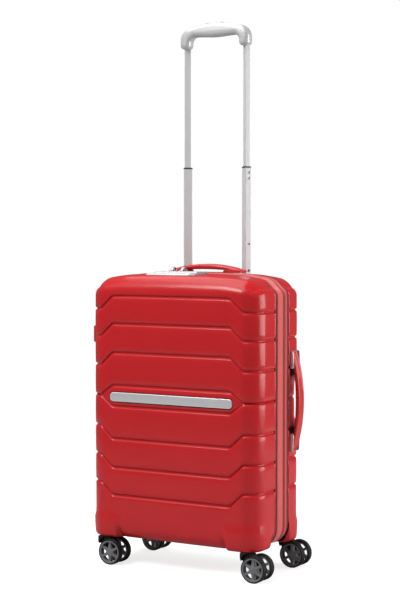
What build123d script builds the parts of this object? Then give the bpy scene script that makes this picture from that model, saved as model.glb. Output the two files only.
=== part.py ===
from build123d import *
import os

# Expandable hard-shell cabin suitcase, millimetres.
# Origin: on the floor under the middle of the case. +X: side-handle side, -Y: front, +Z: up.
# The pull handle is fully out, the case is closed and not expanded.

# ---- driving dimensions ------------------------------------------------------------------
CASE_W, CASE_BOTTOM, CASE_TOP = 360.0, 55.0, 547.0
CROWN = 6.0                      # the top falls this much from the middle to the sides
CORNER_R = 36.0                  # corners seen from the front
EDGE_R = 34.0                    # edges round the front and back faces
FRONT_Y, BACK_Y = -91.0, 91.0
SHELL_WALL = 3.0

FRONT_RIM_Y = -19.0              # front shell stops here, its zip tape follows
ZIP_Y = -15.0                    # main zip
BAND_BACK_Y = 28.0               # expansion zip
BACK_RIM_Y = 32.0                # back shell starts here
ZIP_GAP = 0.2
HINGE_X = -185.0                 # pivot line of the opening front, beside the left wall

GROOVE_Z = (319.0, 57.0, 54.0, 52.0)   # middle groove, then steps to the next ones
GROOVE_W, GROOVE_DEPTH = 3.6, 1.4
GROOVE_SHIFT, BAR_SHIFT = 23.5, 19.5   # how far the grooves step aside in the middle of the face
KINK_IN, KINK_OUT = 126.0, 152.0

TRIM_LENGTH, TRIM_HEIGHT, TRIM_Z = 262.0, 17.5, 317.0

TUBE_X, TUBE_Y = 64.0, 77.0      # pull-handle tubes
TUBE_SECTION = ((11.2, 5.8), (-12.2, 5.8), (3.35, -7.27))   # right tube, flat side to the back
TUBE_ROUND = 1.8                 # corner radius of that section
ROD_X, ROD_Y = 2.03, 0.61        # middle of the section
TUBE_WALL = 1.0
MID_TOP, MID_LENGTH = 745.0, 440.0
INNER_TOP, INNER_LENGTH = 978.0, 418.0
OUTER_TOP, OUTER_BOTTOM = 538.0, 90.0
BEZEL_BOTTOM, BEZEL_TOP = 512.0, 542.0
GRIP_BOTTOM, GRIP_END_TOP, GRIP_TOP = 974.0, 1014.0, 1020.5
GRIP_HALF, GRIP_LEG, GRIP_BAR, GRIP_DEPTH = 76.0, 23.0, 17.0, 24.0
GRIP_OUTER_R, GRIP_INNER_R, GRIP_EDGE_R = 20.0, 11.0, 6.0
LATCH_HOLES_Z = (725.0, 736.0, 601.0, 551.0)
LATCH_HOLE = (9.0, 4.2, 4.6)
PLUG_LENGTH, COLLAR_H = 10.0, 2.5
BEZEL_HALF, BEZEL_Y0, BEZEL_Y1, BEZEL_ROUND = 92.0, 67.2, 88.8, 6.0

CASTER_X, CASTER_Y, CASTER_TRAIL = 153.0, 75.0, 21.0
WHEEL_R, WHEEL_W, WHEEL_OFFSET = 24.0, 12.0, 14.0
TYRE_T, TYRE_ROUND = 2.7, 1.5
SPOKES, WINDOW_ROUND = 6, 1.4
AXLE_R, STEM_R, RUNNING_GAP = 3.0, 6.0, 0.05
HOUSING_R, HOUSING_BOTTOM, HOUSING_TOP, BOSS_R = 23.0, 54.0, 84.0, 15.0

HANDLE_HALF, HANDLE_RISE, HANDLE_W = 93.0, 18.0, 24.0
HANDLE_SPAN = 64.5               # half of the free length between the two brackets
TOP_HANDLE_Y, SIDE_HANDLE_Y, SIDE_HANDLE_Z = 48.0, 51.0, 313.0

LOCK_X0, LOCK_X1, LOCK_Y0, LOCK_Y1 = -64.0, 39.0, -40.0, -20.5
LOCK_TOP = 551.0
DIAL_R, DIAL_W = 5.5, 4.0
DIAL_X = (-54.0, -47.0, -40.0)

FOOT_Y, FOOT_Z0, FOOT_Z1, FOOT_OUT = 50.0, 417.0, 445.0, 7.5
FOOT_W, FOOT_SLOPE = 24.0, 5.0

LINING_GAP, LINING_T = 0.6, 1.0
BACK_LINING_INSET, BACK_LINING_Y = 5.4, 67.0   # its floor covers the outer tubes
BAND_INSET, BAND_WALL = 0.4, 2.6
GUSSET_INSET, GUSSET_WALL, GUSSET_FRONT_Y = 3.4, 1.6, 2.0
HINGE_LOW, HINGE_HIGH = 90.0, 505.0            # stretch of the left side without a zip
HINGE_STRIP = (-182.2, -180.8, -24.0, -5.0, HINGE_LOW + 5, HINGE_HIGH - 5)
TRIM_RECESS, TRIM_THICK, TRIM_EDGE = 1.6, 3.2, 0.8

os.makedirs("parts", exist_ok=True)


def save(name, shape):
    """Write one sub-part to its own file."""
    export_step(shape, f"parts/{name}.step")


def group(*solids):
    """Several separate solids that share one node."""
    return Compound(children=[s for s in solids])


def box_between(x0, x1, y0, y1, z0, z1):
    """Box given by its limits."""
    return Pos((x0 + x1) / 2, (y0 + y1) / 2, (z0 + z1) / 2) * Box(x1 - x0, y1 - y0, z1 - z0)


# ---- case outline ------------------------------------------------------------------------
def outline(inset):
    """Front view of the case, drawn in by inset: a crowned top and round corners."""
    half, low, high = CASE_W / 2 - inset, CASE_BOTTOM + inset, CASE_TOP - inset
    edge = (Line((-half, low), (half, low)) + Line((half, low), (half, high - CROWN))
            + ThreePointArc((half, high - CROWN), (0, high), (-half, high - CROWN))
            + Line((-half, high - CROWN), (-half, low)))
    face = make_face(edge)
    return fillet(face.vertices(), CORNER_R - inset)


def slab(inset, y_low, y_high):
    """The case outline carried from y_low to y_high."""
    return extrude(Plane.XZ.offset(-y_high) * outline(inset), y_high - y_low)


def ring(inset, wall, y_low, y_high):
    """A hollow band that follows the case outline."""
    return slab(inset, y_low, y_high) - slab(inset + wall, y_low - 1, y_high + 1)


def rounded_slab(inset, y_face, y_rim):
    """A closed block whose far face has rounded edges; y_face is that face."""
    low, high = min(y_face, y_rim), max(y_face, y_rim)
    block = slab(inset, low, high)
    face = block.faces().sort_by(Axis.Y)[0 if y_face < y_rim else -1]
    return fillet(face.edges(), EDGE_R - inset)


def tray(inset, wall, y_face, y_rim):
    """A thin-walled half of the case, open at y_rim."""
    step = 1 if y_rim > y_face else -1
    outer = rounded_slab(inset, y_face + step * inset, y_rim)
    inner = rounded_slab(inset + wall, y_face + step * (inset + wall), y_rim + step)
    return outer - inner


def groove_levels():
    """Height of each groove at the sides, with the step it makes in the middle of the face."""
    middle, *steps = GROOVE_Z
    levels = [(middle, BAR_SHIFT), (middle, -BAR_SHIFT)]
    up = 0.0
    for step in steps:
        up += step
        levels += [(middle + up, GROOVE_SHIFT), (middle - up, -GROOVE_SHIFT)]
    return levels


def groove_cutter(skin):
    """All grooves of one shell: kinked bands cut a little way into its skin."""
    far, half = CASE_W, GROOVE_W / 2
    cutters = []
    for z, shift in groove_levels():
        top = [(-far, z + half), (-KINK_OUT, z + half), (-KINK_IN, z + shift + half),
               (KINK_IN, z + shift + half), (KINK_OUT, z + half), (far, z + half)]
        low = [(x, v - GROOVE_W) for x, v in reversed(top)]
        band = make_face(Polyline(*top, *low, close=True))
        cutters.append(extrude(Plane.XZ.offset(100) * band, -200) & skin)
    return cutters


def caster_places():
    """Swivel axes of the four casters with their corner names."""
    for front, y in (("front", -CASTER_Y), ("rear", CASTER_Y)):
        for side, x in (("left", -CASTER_X), ("right", CASTER_X)):
            yield f"{front}_{side}", x, y


def housing_space(radius, top):
    """Upright cylinders where the caster housings pass through the shell and its lining."""
    low = HOUSING_BOTTOM - 4
    return [Pos(x, y, (low + top) / 2) * Cylinder(radius, top - low) for _, x, y in caster_places()]


# ---- tubes of the pull handle ------------------------------------------------------------
def tube_face(side, grow):
    """Section of a pull-handle tube, grown by grow; side is +1 on the right, -1 on the left."""
    face = make_face(Polyline(*[(side * x, y) for x, y in TUBE_SECTION], close=True))
    if grow:
        face = offset(face, grow, kind=Kind.INTERSECTION)
    return fillet(face.vertices(), max(0.8, TUBE_ROUND + grow))


def tube_bar(side, grow, z_low, z_high):
    """Solid bar of the tube section between two heights."""
    place = Pos(side * TUBE_X, TUBE_Y, z_low)
    return place * extrude(tube_face(side, grow), z_high - z_low)


def tube(side, grow, z_low, z_high):
    """Hollow tube whose outside is the tube section grown by grow."""
    return tube_bar(side, grow, z_low, z_high) - tube_bar(side, grow - TUBE_WALL, z_low - 1, z_high + 1)


# ---- shells ------------------------------------------------------------------------------
front_skin = tray(0, GROOVE_DEPTH, FRONT_Y, FRONT_RIM_Y)
back_skin = tray(0, GROOVE_DEPTH, BACK_Y, BACK_RIM_Y)

trim_recess = extrude(Plane.XZ.offset(-FRONT_Y - TRIM_RECESS) * Pos(0, TRIM_Z)
                      * SlotOverall(TRIM_LENGTH + 3, TRIM_HEIGHT + 3), 10)
front_shell = tray(0, SHELL_WALL, FRONT_Y, FRONT_RIM_Y) - trim_recess
back_shell = tray(0, SHELL_WALL, BACK_Y, BACK_RIM_Y)
front_shell = front_shell - groove_cutter(front_skin) - housing_space(HOUSING_R, HOUSING_TOP)
back_shell = back_shell - groove_cutter(back_skin) - housing_space(HOUSING_R, HOUSING_TOP)

front_lining = tray(SHELL_WALL + LINING_GAP, LINING_T, FRONT_Y, FRONT_RIM_Y + 2)
front_lining = front_lining - housing_space(HOUSING_R + 1.5, HOUSING_TOP + 2)

back_lining = slab(BACK_LINING_INSET, BACK_RIM_Y, BACK_LINING_Y)
back_lining -= slab(BACK_LINING_INSET + LINING_T, BACK_RIM_Y - 1, BACK_LINING_Y - LINING_T)
back_lining = back_lining - housing_space(HOUSING_R + 1.5, HOUSING_TOP + 2)

# ---- zips, band and expansion gusset -----------------------------------------------------
hinge_side = box_between(-CASE_W, -CASE_W / 2 + 10, FRONT_Y, BACK_Y, HINGE_LOW, HINGE_HIGH)
front_zip_tape = ring(BAND_INSET, BAND_WALL, FRONT_RIM_Y + 0.02, ZIP_Y - ZIP_GAP) - hinge_side
middle_band = ring(BAND_INSET, BAND_WALL, ZIP_Y + ZIP_GAP, BAND_BACK_Y)
back_zip_tape = ring(BAND_INSET, BAND_WALL, BAND_BACK_Y + 2 * ZIP_GAP, BACK_RIM_Y - 0.02)
expansion_gusset = ring(GUSSET_INSET, GUSSET_WALL, GUSSET_FRONT_Y, BACK_RIM_Y - 0.5)
hinge_strip = box_between(*HINGE_STRIP)

# ---- feet for laying the case on its side ------------------------------------------------
def side_foot(y):
    """Low pad on the left wall with sloping ends."""
    x_wall, x_out = -CASE_W / 2, -CASE_W / 2 - FOOT_OUT
    profile = Polyline((x_wall, FOOT_Z0 - FOOT_SLOPE), (x_out, FOOT_Z0), (x_out, FOOT_Z1),
                       (x_wall, FOOT_Z1 + FOOT_SLOPE), close=True)
    return extrude(Plane.XZ.offset(-y - FOOT_W / 2) * make_face(profile), FOOT_W)


front_foot = side_foot(-FOOT_Y)
back_foot = side_foot(FOOT_Y + 2)

# ---- trim bar ----------------------------------------------------------------------------
trim_bar = extrude(Plane.XZ.offset(-FRONT_Y - TRIM_RECESS) * Pos(0, TRIM_Z)
                   * SlotOverall(TRIM_LENGTH, TRIM_HEIGHT), TRIM_THICK)
trim_bar = chamfer(trim_bar.faces().sort_by(Axis.Y)[0].edges(), TRIM_EDGE)

# ---- carry handles -----------------------------------------------------------------------
def handle_grip():
    """Arched grip lying along X on the XY plane, with a tongue at each end."""
    span, end_high, end_low = HANDLE_SPAN, 11.0, 3.4
    edge = (ThreePointArc((-span, end_high), (0, HANDLE_RISE), (span, end_high))
            + Line((span, end_high), (span, end_low)) + Line((span, end_low), (span - 5, end_low))
            + ThreePointArc((span - 5, end_low), (0, 9.0), (5 - span, end_low))
            + Line((5 - span, end_low), (-span, end_low)) + Line((-span, end_low), (-span, end_high)))
    arch = extrude(Plane.XZ.offset(-HANDLE_W / 2) * make_face(edge), HANDLE_W)
    long_edges = [e for e in arch.edges() if abs(e.center().Y) > HANDLE_W / 2 - 0.1 and e.length > 100]
    arch = fillet(long_edges, 2.4)
    tongues = [Pos(side * (span + 7), 0, 4.9) * Box(16, 15, 3.0) for side in (-1, 1)]
    return arch + tongues


def handle_brackets():
    """The two hollow wedges that hold the tongues and let the grip lift."""
    wedges = []
    for side in (-1, 1):
        inner, outer = side * (HANDLE_SPAN + 0.5), side * HANDLE_HALF
        profile = Polyline((inner, 0), (outer, 0), (outer, 3), (inner + side * 5, 15.0),
                           (inner, 15.0), close=True)
        wedge = extrude(Plane.XZ.offset(-HANDLE_W / 2 - 1) * make_face(profile), HANDLE_W + 2)
        slot = Pos(inner + side * 8, 0, 8.6) * Box(17, 16, 10.8)
        wedges.append(wedge - slot)
    return wedges


top_place = Pos(0, TOP_HANDLE_Y, CASE_TOP + 0.1)
side_place = Pos(CASE_W / 2 + 0.1, SIDE_HANDLE_Y, SIDE_HANDLE_Z) * Rot(0, 90, 0)
top_handle = top_place * handle_grip()
side_handle = side_place * handle_grip()
top_brackets = group(*[top_place * w for w in handle_brackets()])
side_brackets = group(*[side_place * w for w in handle_brackets()])

# ---- pull handle -------------------------------------------------------------------------
SIDES = (("left", -1), ("right", 1))
MID_BOTTOM, INNER_BOTTOM = MID_TOP - MID_LENGTH, INNER_TOP - INNER_LENGTH
INNER_GROW = -1.6
for side_name, side in SIDES:
    save(f"outer_tube_{side_name}", tube(side, 1.6, OUTER_BOTTOM, OUTER_TOP))
    mid = tube(side, 0, MID_BOTTOM, MID_TOP)
    for z in LATCH_HOLES_Z:
        mid -= Pos(side * (TUBE_X + 8.5), TUBE_Y, z) * Box(*LATCH_HOLE)
    save(f"mid_tube_{side_name}", mid)
    save(f"inner_tube_{side_name}", tube(side, INNER_GROW, INNER_BOTTOM, INNER_TOP))

mid_collars = group(*[tube_bar(s, 0.3, MID_TOP, MID_TOP + COLLAR_H)
                      - tube_bar(s, -1.3, MID_TOP - 1, MID_TOP + COLLAR_H + 1) for _, s in SIDES])
mid_plugs = group(*[tube_bar(s, 0.2, MID_BOTTOM - PLUG_LENGTH, MID_BOTTOM) for _, s in SIDES])
inner_plugs = group(*[tube_bar(s, INNER_GROW + 0.2, INNER_BOTTOM - PLUG_LENGTH, INNER_BOTTOM)
                      for _, s in SIDES])
bezel_well = box_between(-BEZEL_HALF, BEZEL_HALF, BEZEL_Y0, BEZEL_Y1, BEZEL_BOTTOM, CASE_TOP + 5)
bezel_well = fillet(bezel_well.edges().filter_by(Axis.Z), BEZEL_ROUND)
back_shell -= bezel_well
tube_bezel = bezel_well & box_between(-CASE_W, CASE_W, 0, CASE_W, BEZEL_BOTTOM, BEZEL_TOP)
tube_bezel = fillet(tube_bezel.faces().sort_by(Axis.Z)[-1].edges(), 2)
for _, s in SIDES:
    tube_bezel -= tube_bar(s, 1.6, BEZEL_BOTTOM - 5, OUTER_TOP)
    tube_bezel -= tube_bar(s, 0.4, OUTER_TOP - 1, BEZEL_TOP + 5)
tube_foot = box_between(-TUBE_X - 14, TUBE_X + 14, 69, 86, OUTER_BOTTOM - 8, OUTER_BOTTOM)


def grip_body():
    """Moulded grip: a crowned bar with two legs that run down over the tubes."""
    g = GRIP_HALF
    outer = make_face(Line((-g, GRIP_BOTTOM), (g, GRIP_BOTTOM))
                      + Line((g, GRIP_BOTTOM), (g, GRIP_END_TOP))
                      + ThreePointArc((g, GRIP_END_TOP), (0, GRIP_TOP), (-g, GRIP_END_TOP))
                      + Line((-g, GRIP_END_TOP), (-g, GRIP_BOTTOM)))
    outer = fillet(outer.vertices().sort_by(Axis.Y)[-2:], GRIP_OUTER_R)
    hole_half, hole_top = g - GRIP_LEG, GRIP_END_TOP - GRIP_BAR
    hole = make_face(Polyline((-hole_half, GRIP_BOTTOM - 5), (hole_half, GRIP_BOTTOM - 5),
                              (hole_half, hole_top), (-hole_half, hole_top), close=True))
    hole = fillet(hole.vertices().sort_by(Axis.Y)[-2:], GRIP_INNER_R)
    body = extrude(Plane.XZ.offset(-TUBE_Y - GRIP_DEPTH / 2) * (outer - hole), GRIP_DEPTH)
    rims = [e for e in body.edges() if abs(abs(e.center().Y - TUBE_Y) - GRIP_DEPTH / 2) < 0.1
            and e.center().Z > GRIP_BOTTOM + 1]
    return fillet(rims, GRIP_EDGE_R)


BUTTON_L, BUTTON_W, BUTTON_X, BUTTON_TRAVEL = 38.0, 11.0, -3.0, 3.0
BUTTON_WELL, BUTTON_T, BUTTON_GAP = 7.0, 5.2, 0.4
button_place = Pos(BUTTON_X, TUBE_Y, GRIP_TOP - BUTTON_WELL)
pull_grip = grip_body() - button_place * extrude(
    SlotOverall(BUTTON_L + 2 * BUTTON_GAP, BUTTON_W + 2 * BUTTON_GAP), BUTTON_WELL + 5)
for _, s in SIDES:
    pull_grip -= tube_bar(s, INNER_GROW, GRIP_BOTTOM - 1, INNER_TOP)
release_button = Pos(0, 0, BUTTON_TRAVEL + 0.3) * button_place * extrude(
    SlotOverall(BUTTON_L, BUTTON_W), BUTTON_T)
release_button = fillet(release_button.faces().sort_by(Axis.Z)[-1].edges(), 1.2)
ROD_R, ROD_SHORT = 1.6, 16.0
release_rods = group(*[Pos(s * (TUBE_X + ROD_X), TUBE_Y + ROD_Y, (INNER_BOTTOM + INNER_TOP) / 2)
                       * Cylinder(ROD_R, INNER_TOP - INNER_BOTTOM - ROD_SHORT) for _, s in SIDES])

# ---- lock --------------------------------------------------------------------------------
lock_base = box_between(LOCK_X0, LOCK_X1, LOCK_Y0, LOCK_Y1, CASE_TOP + 0.1, LOCK_TOP)
lock_base = fillet(lock_base.edges().filter_by(Axis.Z), 3)
DIAL_Y, DIAL_Z = -30.0, LOCK_TOP - DIAL_R + 0.3
for x in DIAL_X:
    lock_base -= Pos(x, DIAL_Y, DIAL_Z) * Rot(0, 90, 0) * Cylinder(DIAL_R + 0.5, DIAL_W + 0.8)
    front_shell -= Pos(x, DIAL_Y, DIAL_Z) * Rot(0, 90, 0) * Cylinder(DIAL_R + 0.8, DIAL_W + 1.4)
    front_lining -= Pos(x, DIAL_Y, DIAL_Z) * Rot(0, 90, 0) * Cylinder(DIAL_R + 1.2, DIAL_W + 2)
BUTTON_SLOT = (-33.0, -20.0, -34.0, -26.0)
lock_base -= box_between(*BUTTON_SLOT, CASE_TOP + 1.2, LOCK_TOP + 1)
lock_button = box_between(-29.4, -20.6, -33.6, -26.4, CASE_TOP + 1.5, LOCK_TOP + 0.2)
KEY_X, KEY_Y, KEY_R = 31.0, -30.0, 4.5
lock_base -= Pos(KEY_X, KEY_Y, LOCK_TOP) * Cylinder(KEY_R + 0.05, 4.8)
key_cylinder = Pos(KEY_X, KEY_Y, LOCK_TOP - 1.0) * Cylinder(KEY_R, 2.4)
key_cylinder -= Pos(KEY_X, KEY_Y, LOCK_TOP + 0.2) * Box(1.0, 5.0, 1.4)

PIN_Z = CASE_TOP + 6.0
PIN_R, PIN_LENGTH, EAR_R = 0.95, 6.0, 2.0


def zip_slider(x):
    """Slider body that straddles the main zip."""
    body = box_between(x - 5, x + 5, ZIP_Y - 3.5, ZIP_Y + 3.5, CASE_TOP + 0.4, CASE_TOP + 3.6)
    body += Pos(x, ZIP_Y, PIN_Z - 0.4) * Box(2.6, 5, 4.4)
    pin = Pos(x, ZIP_Y, PIN_Z) * Rot(0, 90, 0) * Cylinder(PIN_R, PIN_LENGTH)
    return body + pin


def pull_tab(x):
    """Arched tab that hangs from the slider's pin and lies over the lock."""
    ears = [Pos(x + s * 2.2, ZIP_Y, PIN_Z) * Rot(0, 90, 0) * Cylinder(EAR_R, 1.2) for s in (-1, 1)]
    profile = Polyline((-15.2, 555.0), (-19.0, 558.6), (-24.5, 558.6), (-30.5, 553.2), (-34.5, 553.2),
                       (-34.5, 551.6), (-31.2, 551.6), (-25.0, 556.9), (-19.6, 556.9), (-17.0, 554.0),
                       (-17.0, 552.0), (-15.2, 552.0), close=True)
    plate = extrude(Plane.YZ.offset(x - 2.8) * make_face(profile), 5.6)
    plate -= Pos(x, ZIP_Y, PIN_Z - 0.2) * Box(3.2, 7, 6.0)
    hole = Pos(x, ZIP_Y, PIN_Z) * Rot(0, 90, 0) * Cylinder(PIN_R + RUNNING_GAP, 8)
    return plate + ears - hole


SLIDER_X = (("left", -34.0), ("right", -12.0))
for side_name, x in SLIDER_X:
    save(f"zip_slider_{side_name}", zip_slider(x))
    save(f"pull_tab_{side_name}", pull_tab(x))

EXPANSION_SLIDER_Z = 140.0
EXPANSION_BODY = (-184.2, -180.3, 26.0, 31.0, EXPANSION_SLIDER_Z - 5, EXPANSION_SLIDER_Z + 5)
EXPANSION_TAB = (-184.2, -182.8, 27.0, 30.0, EXPANSION_SLIDER_Z - 26, EXPANSION_SLIDER_Z - 5)
expansion_slider = box_between(*EXPANSION_BODY) + box_between(*EXPANSION_TAB)

# ---- packing straps and pocket -----------------------------------------------------------
STRAP_Y, STRAP_Z, STRAP_W, STRAP_T = 35.0, 300.0, 25.0, 1.2
BUCKLE_HALF = 26.0
strap_reach = CASE_W / 2 - BACK_LINING_INSET - LINING_T
straps = group(*[box_between(min(s * BUCKLE_HALF, s * strap_reach), max(s * BUCKLE_HALF, s * strap_reach),
                             STRAP_Y, STRAP_Y + STRAP_T, STRAP_Z - STRAP_W / 2, STRAP_Z + STRAP_W / 2)
                 for s in (-1, 1)])
buckle = box_between(-BUCKLE_HALF, 4, STRAP_Y - 2.5, STRAP_Y + 5.5, STRAP_Z - 17, STRAP_Z + 17)
buckle -= box_between(-16, 5, STRAP_Y, STRAP_Y + 3.4, STRAP_Z - 12, STRAP_Z + 12)
clip = box_between(6, BUCKLE_HALF, STRAP_Y - 1, STRAP_Y + 4, STRAP_Z - 16, STRAP_Z + 16)
clip += box_between(-14, 6, STRAP_Y + 0.4, STRAP_Y + 3.0, STRAP_Z - 11, STRAP_Z + 11)
POCKET_HALF, POCKET_Y, POCKET_T, POCKET_LOW, POCKET_HIGH = CASE_W / 2 - 6, -24.0, 1.2, 95.0, 330.0
pocket = box_between(-POCKET_HALF, POCKET_HALF, POCKET_Y, POCKET_Y + POCKET_T, POCKET_LOW, POCKET_HIGH)

# ---- casters -----------------------------------------------------------------------------
POD_GROW = 1.5
pod_space = (rounded_slab(-POD_GROW, FRONT_Y - POD_GROW, 0.0)
             + rounded_slab(-POD_GROW, BACK_Y + POD_GROW, 0.0))


def caster_housing(x, y):
    """Round socket block in a bottom corner, trimmed to the case."""
    low, high = HOUSING_BOTTOM, HOUSING_TOP
    body = Pos(x, y, (low + high) / 2) * Cylinder(HOUSING_R - 0.05, high - low)
    body &= pod_space
    body += Pos(x, y, low + 8) * Cylinder(BOSS_R, 16)
    return body - Pos(x, y, (low + high) / 2) * Cylinder(STEM_R, high - low + 2)


def caster_fork(x, y):
    """Stem, cap, web and nose of one caster, with its axle pin."""
    stem = Pos(x, y, 65) * Cylinder(STEM_R - RUNNING_GAP, 34)
    cap = Pos(x, y, 51.3) * Cylinder(12.5, 4.2)
    profile = Polyline((-12, 53), (12, 53), (28.5, 30), (28.5, 18), (14, 18), (-8, 34), (-12, 38),
                       close=True)
    web_face = fillet(make_face(profile).vertices(), 3)
    web = Pos(x, y, 0) * extrude(Plane.XZ.offset(-7) * web_face, 14)
    nose_profile = Polyline((-12, 53), (-1, 53), (-1, 48), (-7, 40), (-7, 34), (-12, 38), close=True)
    nose = Pos(x, y, 0) * extrude(Plane.XZ.offset(-14) * make_face(nose_profile), 28)
    hole = Pos(x + CASTER_TRAIL, y, WHEEL_R) * Rot(90, 0, 0) * Cylinder(AXLE_R, 40)
    body = stem + cap + web + nose - hole
    axle = Pos(x + CASTER_TRAIL, y, WHEEL_R) * Rot(90, 0, 0) * Cylinder(AXLE_R, 2 * (WHEEL_OFFSET + 5))
    return group(body, axle)


def wheel(x, y):
    """Spoked hub with see-through windows and a soft tyre, centred on its axle."""
    hub_r = WHEEL_R - TYRE_T
    face = Circle(hub_r) - Circle(AXLE_R + RUNNING_GAP)
    window = make_face(Polyline((-2.6, 8.2), (2.6, 8.2), (6.4, 17.6), (-6.4, 17.6), close=True))
    window = fillet(window.vertices(), WINDOW_ROUND)
    for k in range(SPOKES):
        face -= Rot(0, 0, (k + 0.5) * 360 / SPOKES) * window
    hub = extrude(face, WHEEL_W / 2, both=True)
    tyre = extrude(Circle(WHEEL_R) - Circle(hub_r + 0.02), WHEEL_W / 2, both=True)
    tyre = fillet(tyre.edges().filter_by(GeomType.CIRCLE).sort_by(SortBy.RADIUS)[-2:], TYRE_ROUND)
    place = Pos(x + CASTER_TRAIL, y, WHEEL_R) * Rot(90, 0, 0)
    return group(place * hub, place * tyre)


for corner, x, y in caster_places():
    save(f"caster_fork_{corner}", caster_fork(x, y))
    for letter, shift in (("a", -WHEEL_OFFSET), ("b", WHEEL_OFFSET)):
        save(f"wheel_{corner}_{letter}", wheel(x, y + shift))

housings = {c: caster_housing(x, y) for c, x, y in caster_places()}

PARTS = {
    "front_shell": front_shell,
    "back_shell": back_shell,
    "front_lining": front_lining,
    "back_lining": back_lining,
    "front_zip_tape": front_zip_tape,
    "middle_band": middle_band,
    "back_zip_tape": back_zip_tape,
    "expansion_gusset": expansion_gusset,
    "hinge_strip": hinge_strip,
    "front_foot": front_foot,
    "back_foot": back_foot,
    "trim_bar": trim_bar,
    "top_handle": top_handle,
    "side_handle": side_handle,
    "top_handle_brackets": top_brackets,
    "side_handle_brackets": side_brackets,
    "mid_tube_collars": mid_collars,
    "mid_tube_plugs": mid_plugs,
    "inner_tube_plugs": inner_plugs,
    "tube_bezel": tube_bezel,
    "tube_foot_bracket": tube_foot,
    "pull_grip": pull_grip,
    "release_button": release_button,
    "release_rods": release_rods,
    "lock_base": lock_base,
    "lock_button": lock_button,
    "key_cylinder": key_cylinder,
    "expansion_slider": expansion_slider,
    "packing_straps": straps,
    "strap_buckle": buckle,
    "strap_clip": clip,
    "front_pocket": pocket,
    "front_caster_housings": group(housings["front_left"], housings["front_right"]),
    "rear_caster_housings": group(housings["rear_left"], housings["rear_right"]),
}
for name, shape in PARTS.items():
    save(name, shape)
for n, x in enumerate(DIAL_X, start=1):
    save(f"lock_dial_{n}", Pos(x, DIAL_Y, DIAL_Z) * Rot(0, 90, 0) * Cylinder(DIAL_R, DIAL_W))
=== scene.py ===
"""Expandable hard-shell cabin suitcase: the visible pieces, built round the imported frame. Metres throughout."""

from __future__ import annotations

import logging
import math
from collections.abc import Callable, Iterator, Sequence
from contextlib import contextmanager
from dataclasses import dataclass, field, replace
from enum import Enum

import bpy
from mathutils import Matrix, Vector, noise

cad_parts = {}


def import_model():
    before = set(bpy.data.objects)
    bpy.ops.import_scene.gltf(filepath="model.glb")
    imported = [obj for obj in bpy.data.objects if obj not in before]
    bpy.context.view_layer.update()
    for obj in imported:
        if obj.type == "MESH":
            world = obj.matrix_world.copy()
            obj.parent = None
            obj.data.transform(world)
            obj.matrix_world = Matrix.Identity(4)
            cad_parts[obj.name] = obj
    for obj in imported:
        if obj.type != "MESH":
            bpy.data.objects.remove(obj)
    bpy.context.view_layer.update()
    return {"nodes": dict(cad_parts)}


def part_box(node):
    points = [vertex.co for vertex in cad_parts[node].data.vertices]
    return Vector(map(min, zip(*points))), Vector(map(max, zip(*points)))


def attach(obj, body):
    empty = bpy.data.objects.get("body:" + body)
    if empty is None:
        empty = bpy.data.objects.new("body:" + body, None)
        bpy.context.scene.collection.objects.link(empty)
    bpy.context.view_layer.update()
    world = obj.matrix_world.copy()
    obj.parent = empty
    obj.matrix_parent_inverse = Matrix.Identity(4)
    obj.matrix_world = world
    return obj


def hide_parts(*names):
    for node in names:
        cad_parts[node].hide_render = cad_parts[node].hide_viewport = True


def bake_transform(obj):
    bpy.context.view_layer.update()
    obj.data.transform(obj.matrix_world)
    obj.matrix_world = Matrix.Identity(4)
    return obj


LOG = logging.getLogger("suitcase")
Piece = bpy.types.Object
Point = tuple[float, float, float]
Colour = tuple[float, float, float]


# ---------------------------------------------------------------- shader building
class Value:
    """A shader output that takes part in arithmetic."""

    def __init__(self, tree: "Tree", socket: bpy.types.NodeSocket) -> None:
        """Keep the tree and the output socket."""
        self.tree, self.socket = tree, socket

    def _math(self, operation: str, *terms: "Value | float") -> "Value":
        """Add one Math node and give its output."""
        return self.tree.node("ShaderNodeMath", {"operation": operation}, dict(enumerate(terms)))

    def __add__(self, other: "Value | float") -> "Value":
        """self + other."""
        return self._math("ADD", self, other)

    __radd__ = __add__

    def __sub__(self, other: "Value | float") -> "Value":
        """self - other."""
        return self._math("SUBTRACT", self, other)

    def __rsub__(self, other: "Value | float") -> "Value":
        """other - self."""
        return self._math("SUBTRACT", other, self)

    def __mul__(self, other: "Value | float") -> "Value":
        """self * other."""
        return self._math("MULTIPLY", self, other)

    __rmul__ = __mul__

    def __truediv__(self, other: "Value | float") -> "Value":
        """self / other."""
        return self._math("DIVIDE", self, other)

    def __pow__(self, other: float) -> "Value":
        """self to a power."""
        return self._math("POWER", self, other)

    def __gt__(self, other: float) -> "Value":
        """1 where self is above other."""
        return self._math("GREATER_THAN", self, other)

    def wave(self, length: float) -> "Value":
        """A sine of this length along self, from 0 to 1."""
        return self._math("SINE", self * (2 * math.pi / length)) * 0.5 + 0.5

    def clamped(self) -> "Value":
        """self kept within 0 and 1."""
        return self._math("MINIMUM", self._math("MAXIMUM", self, 0.0), 1.0)


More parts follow.
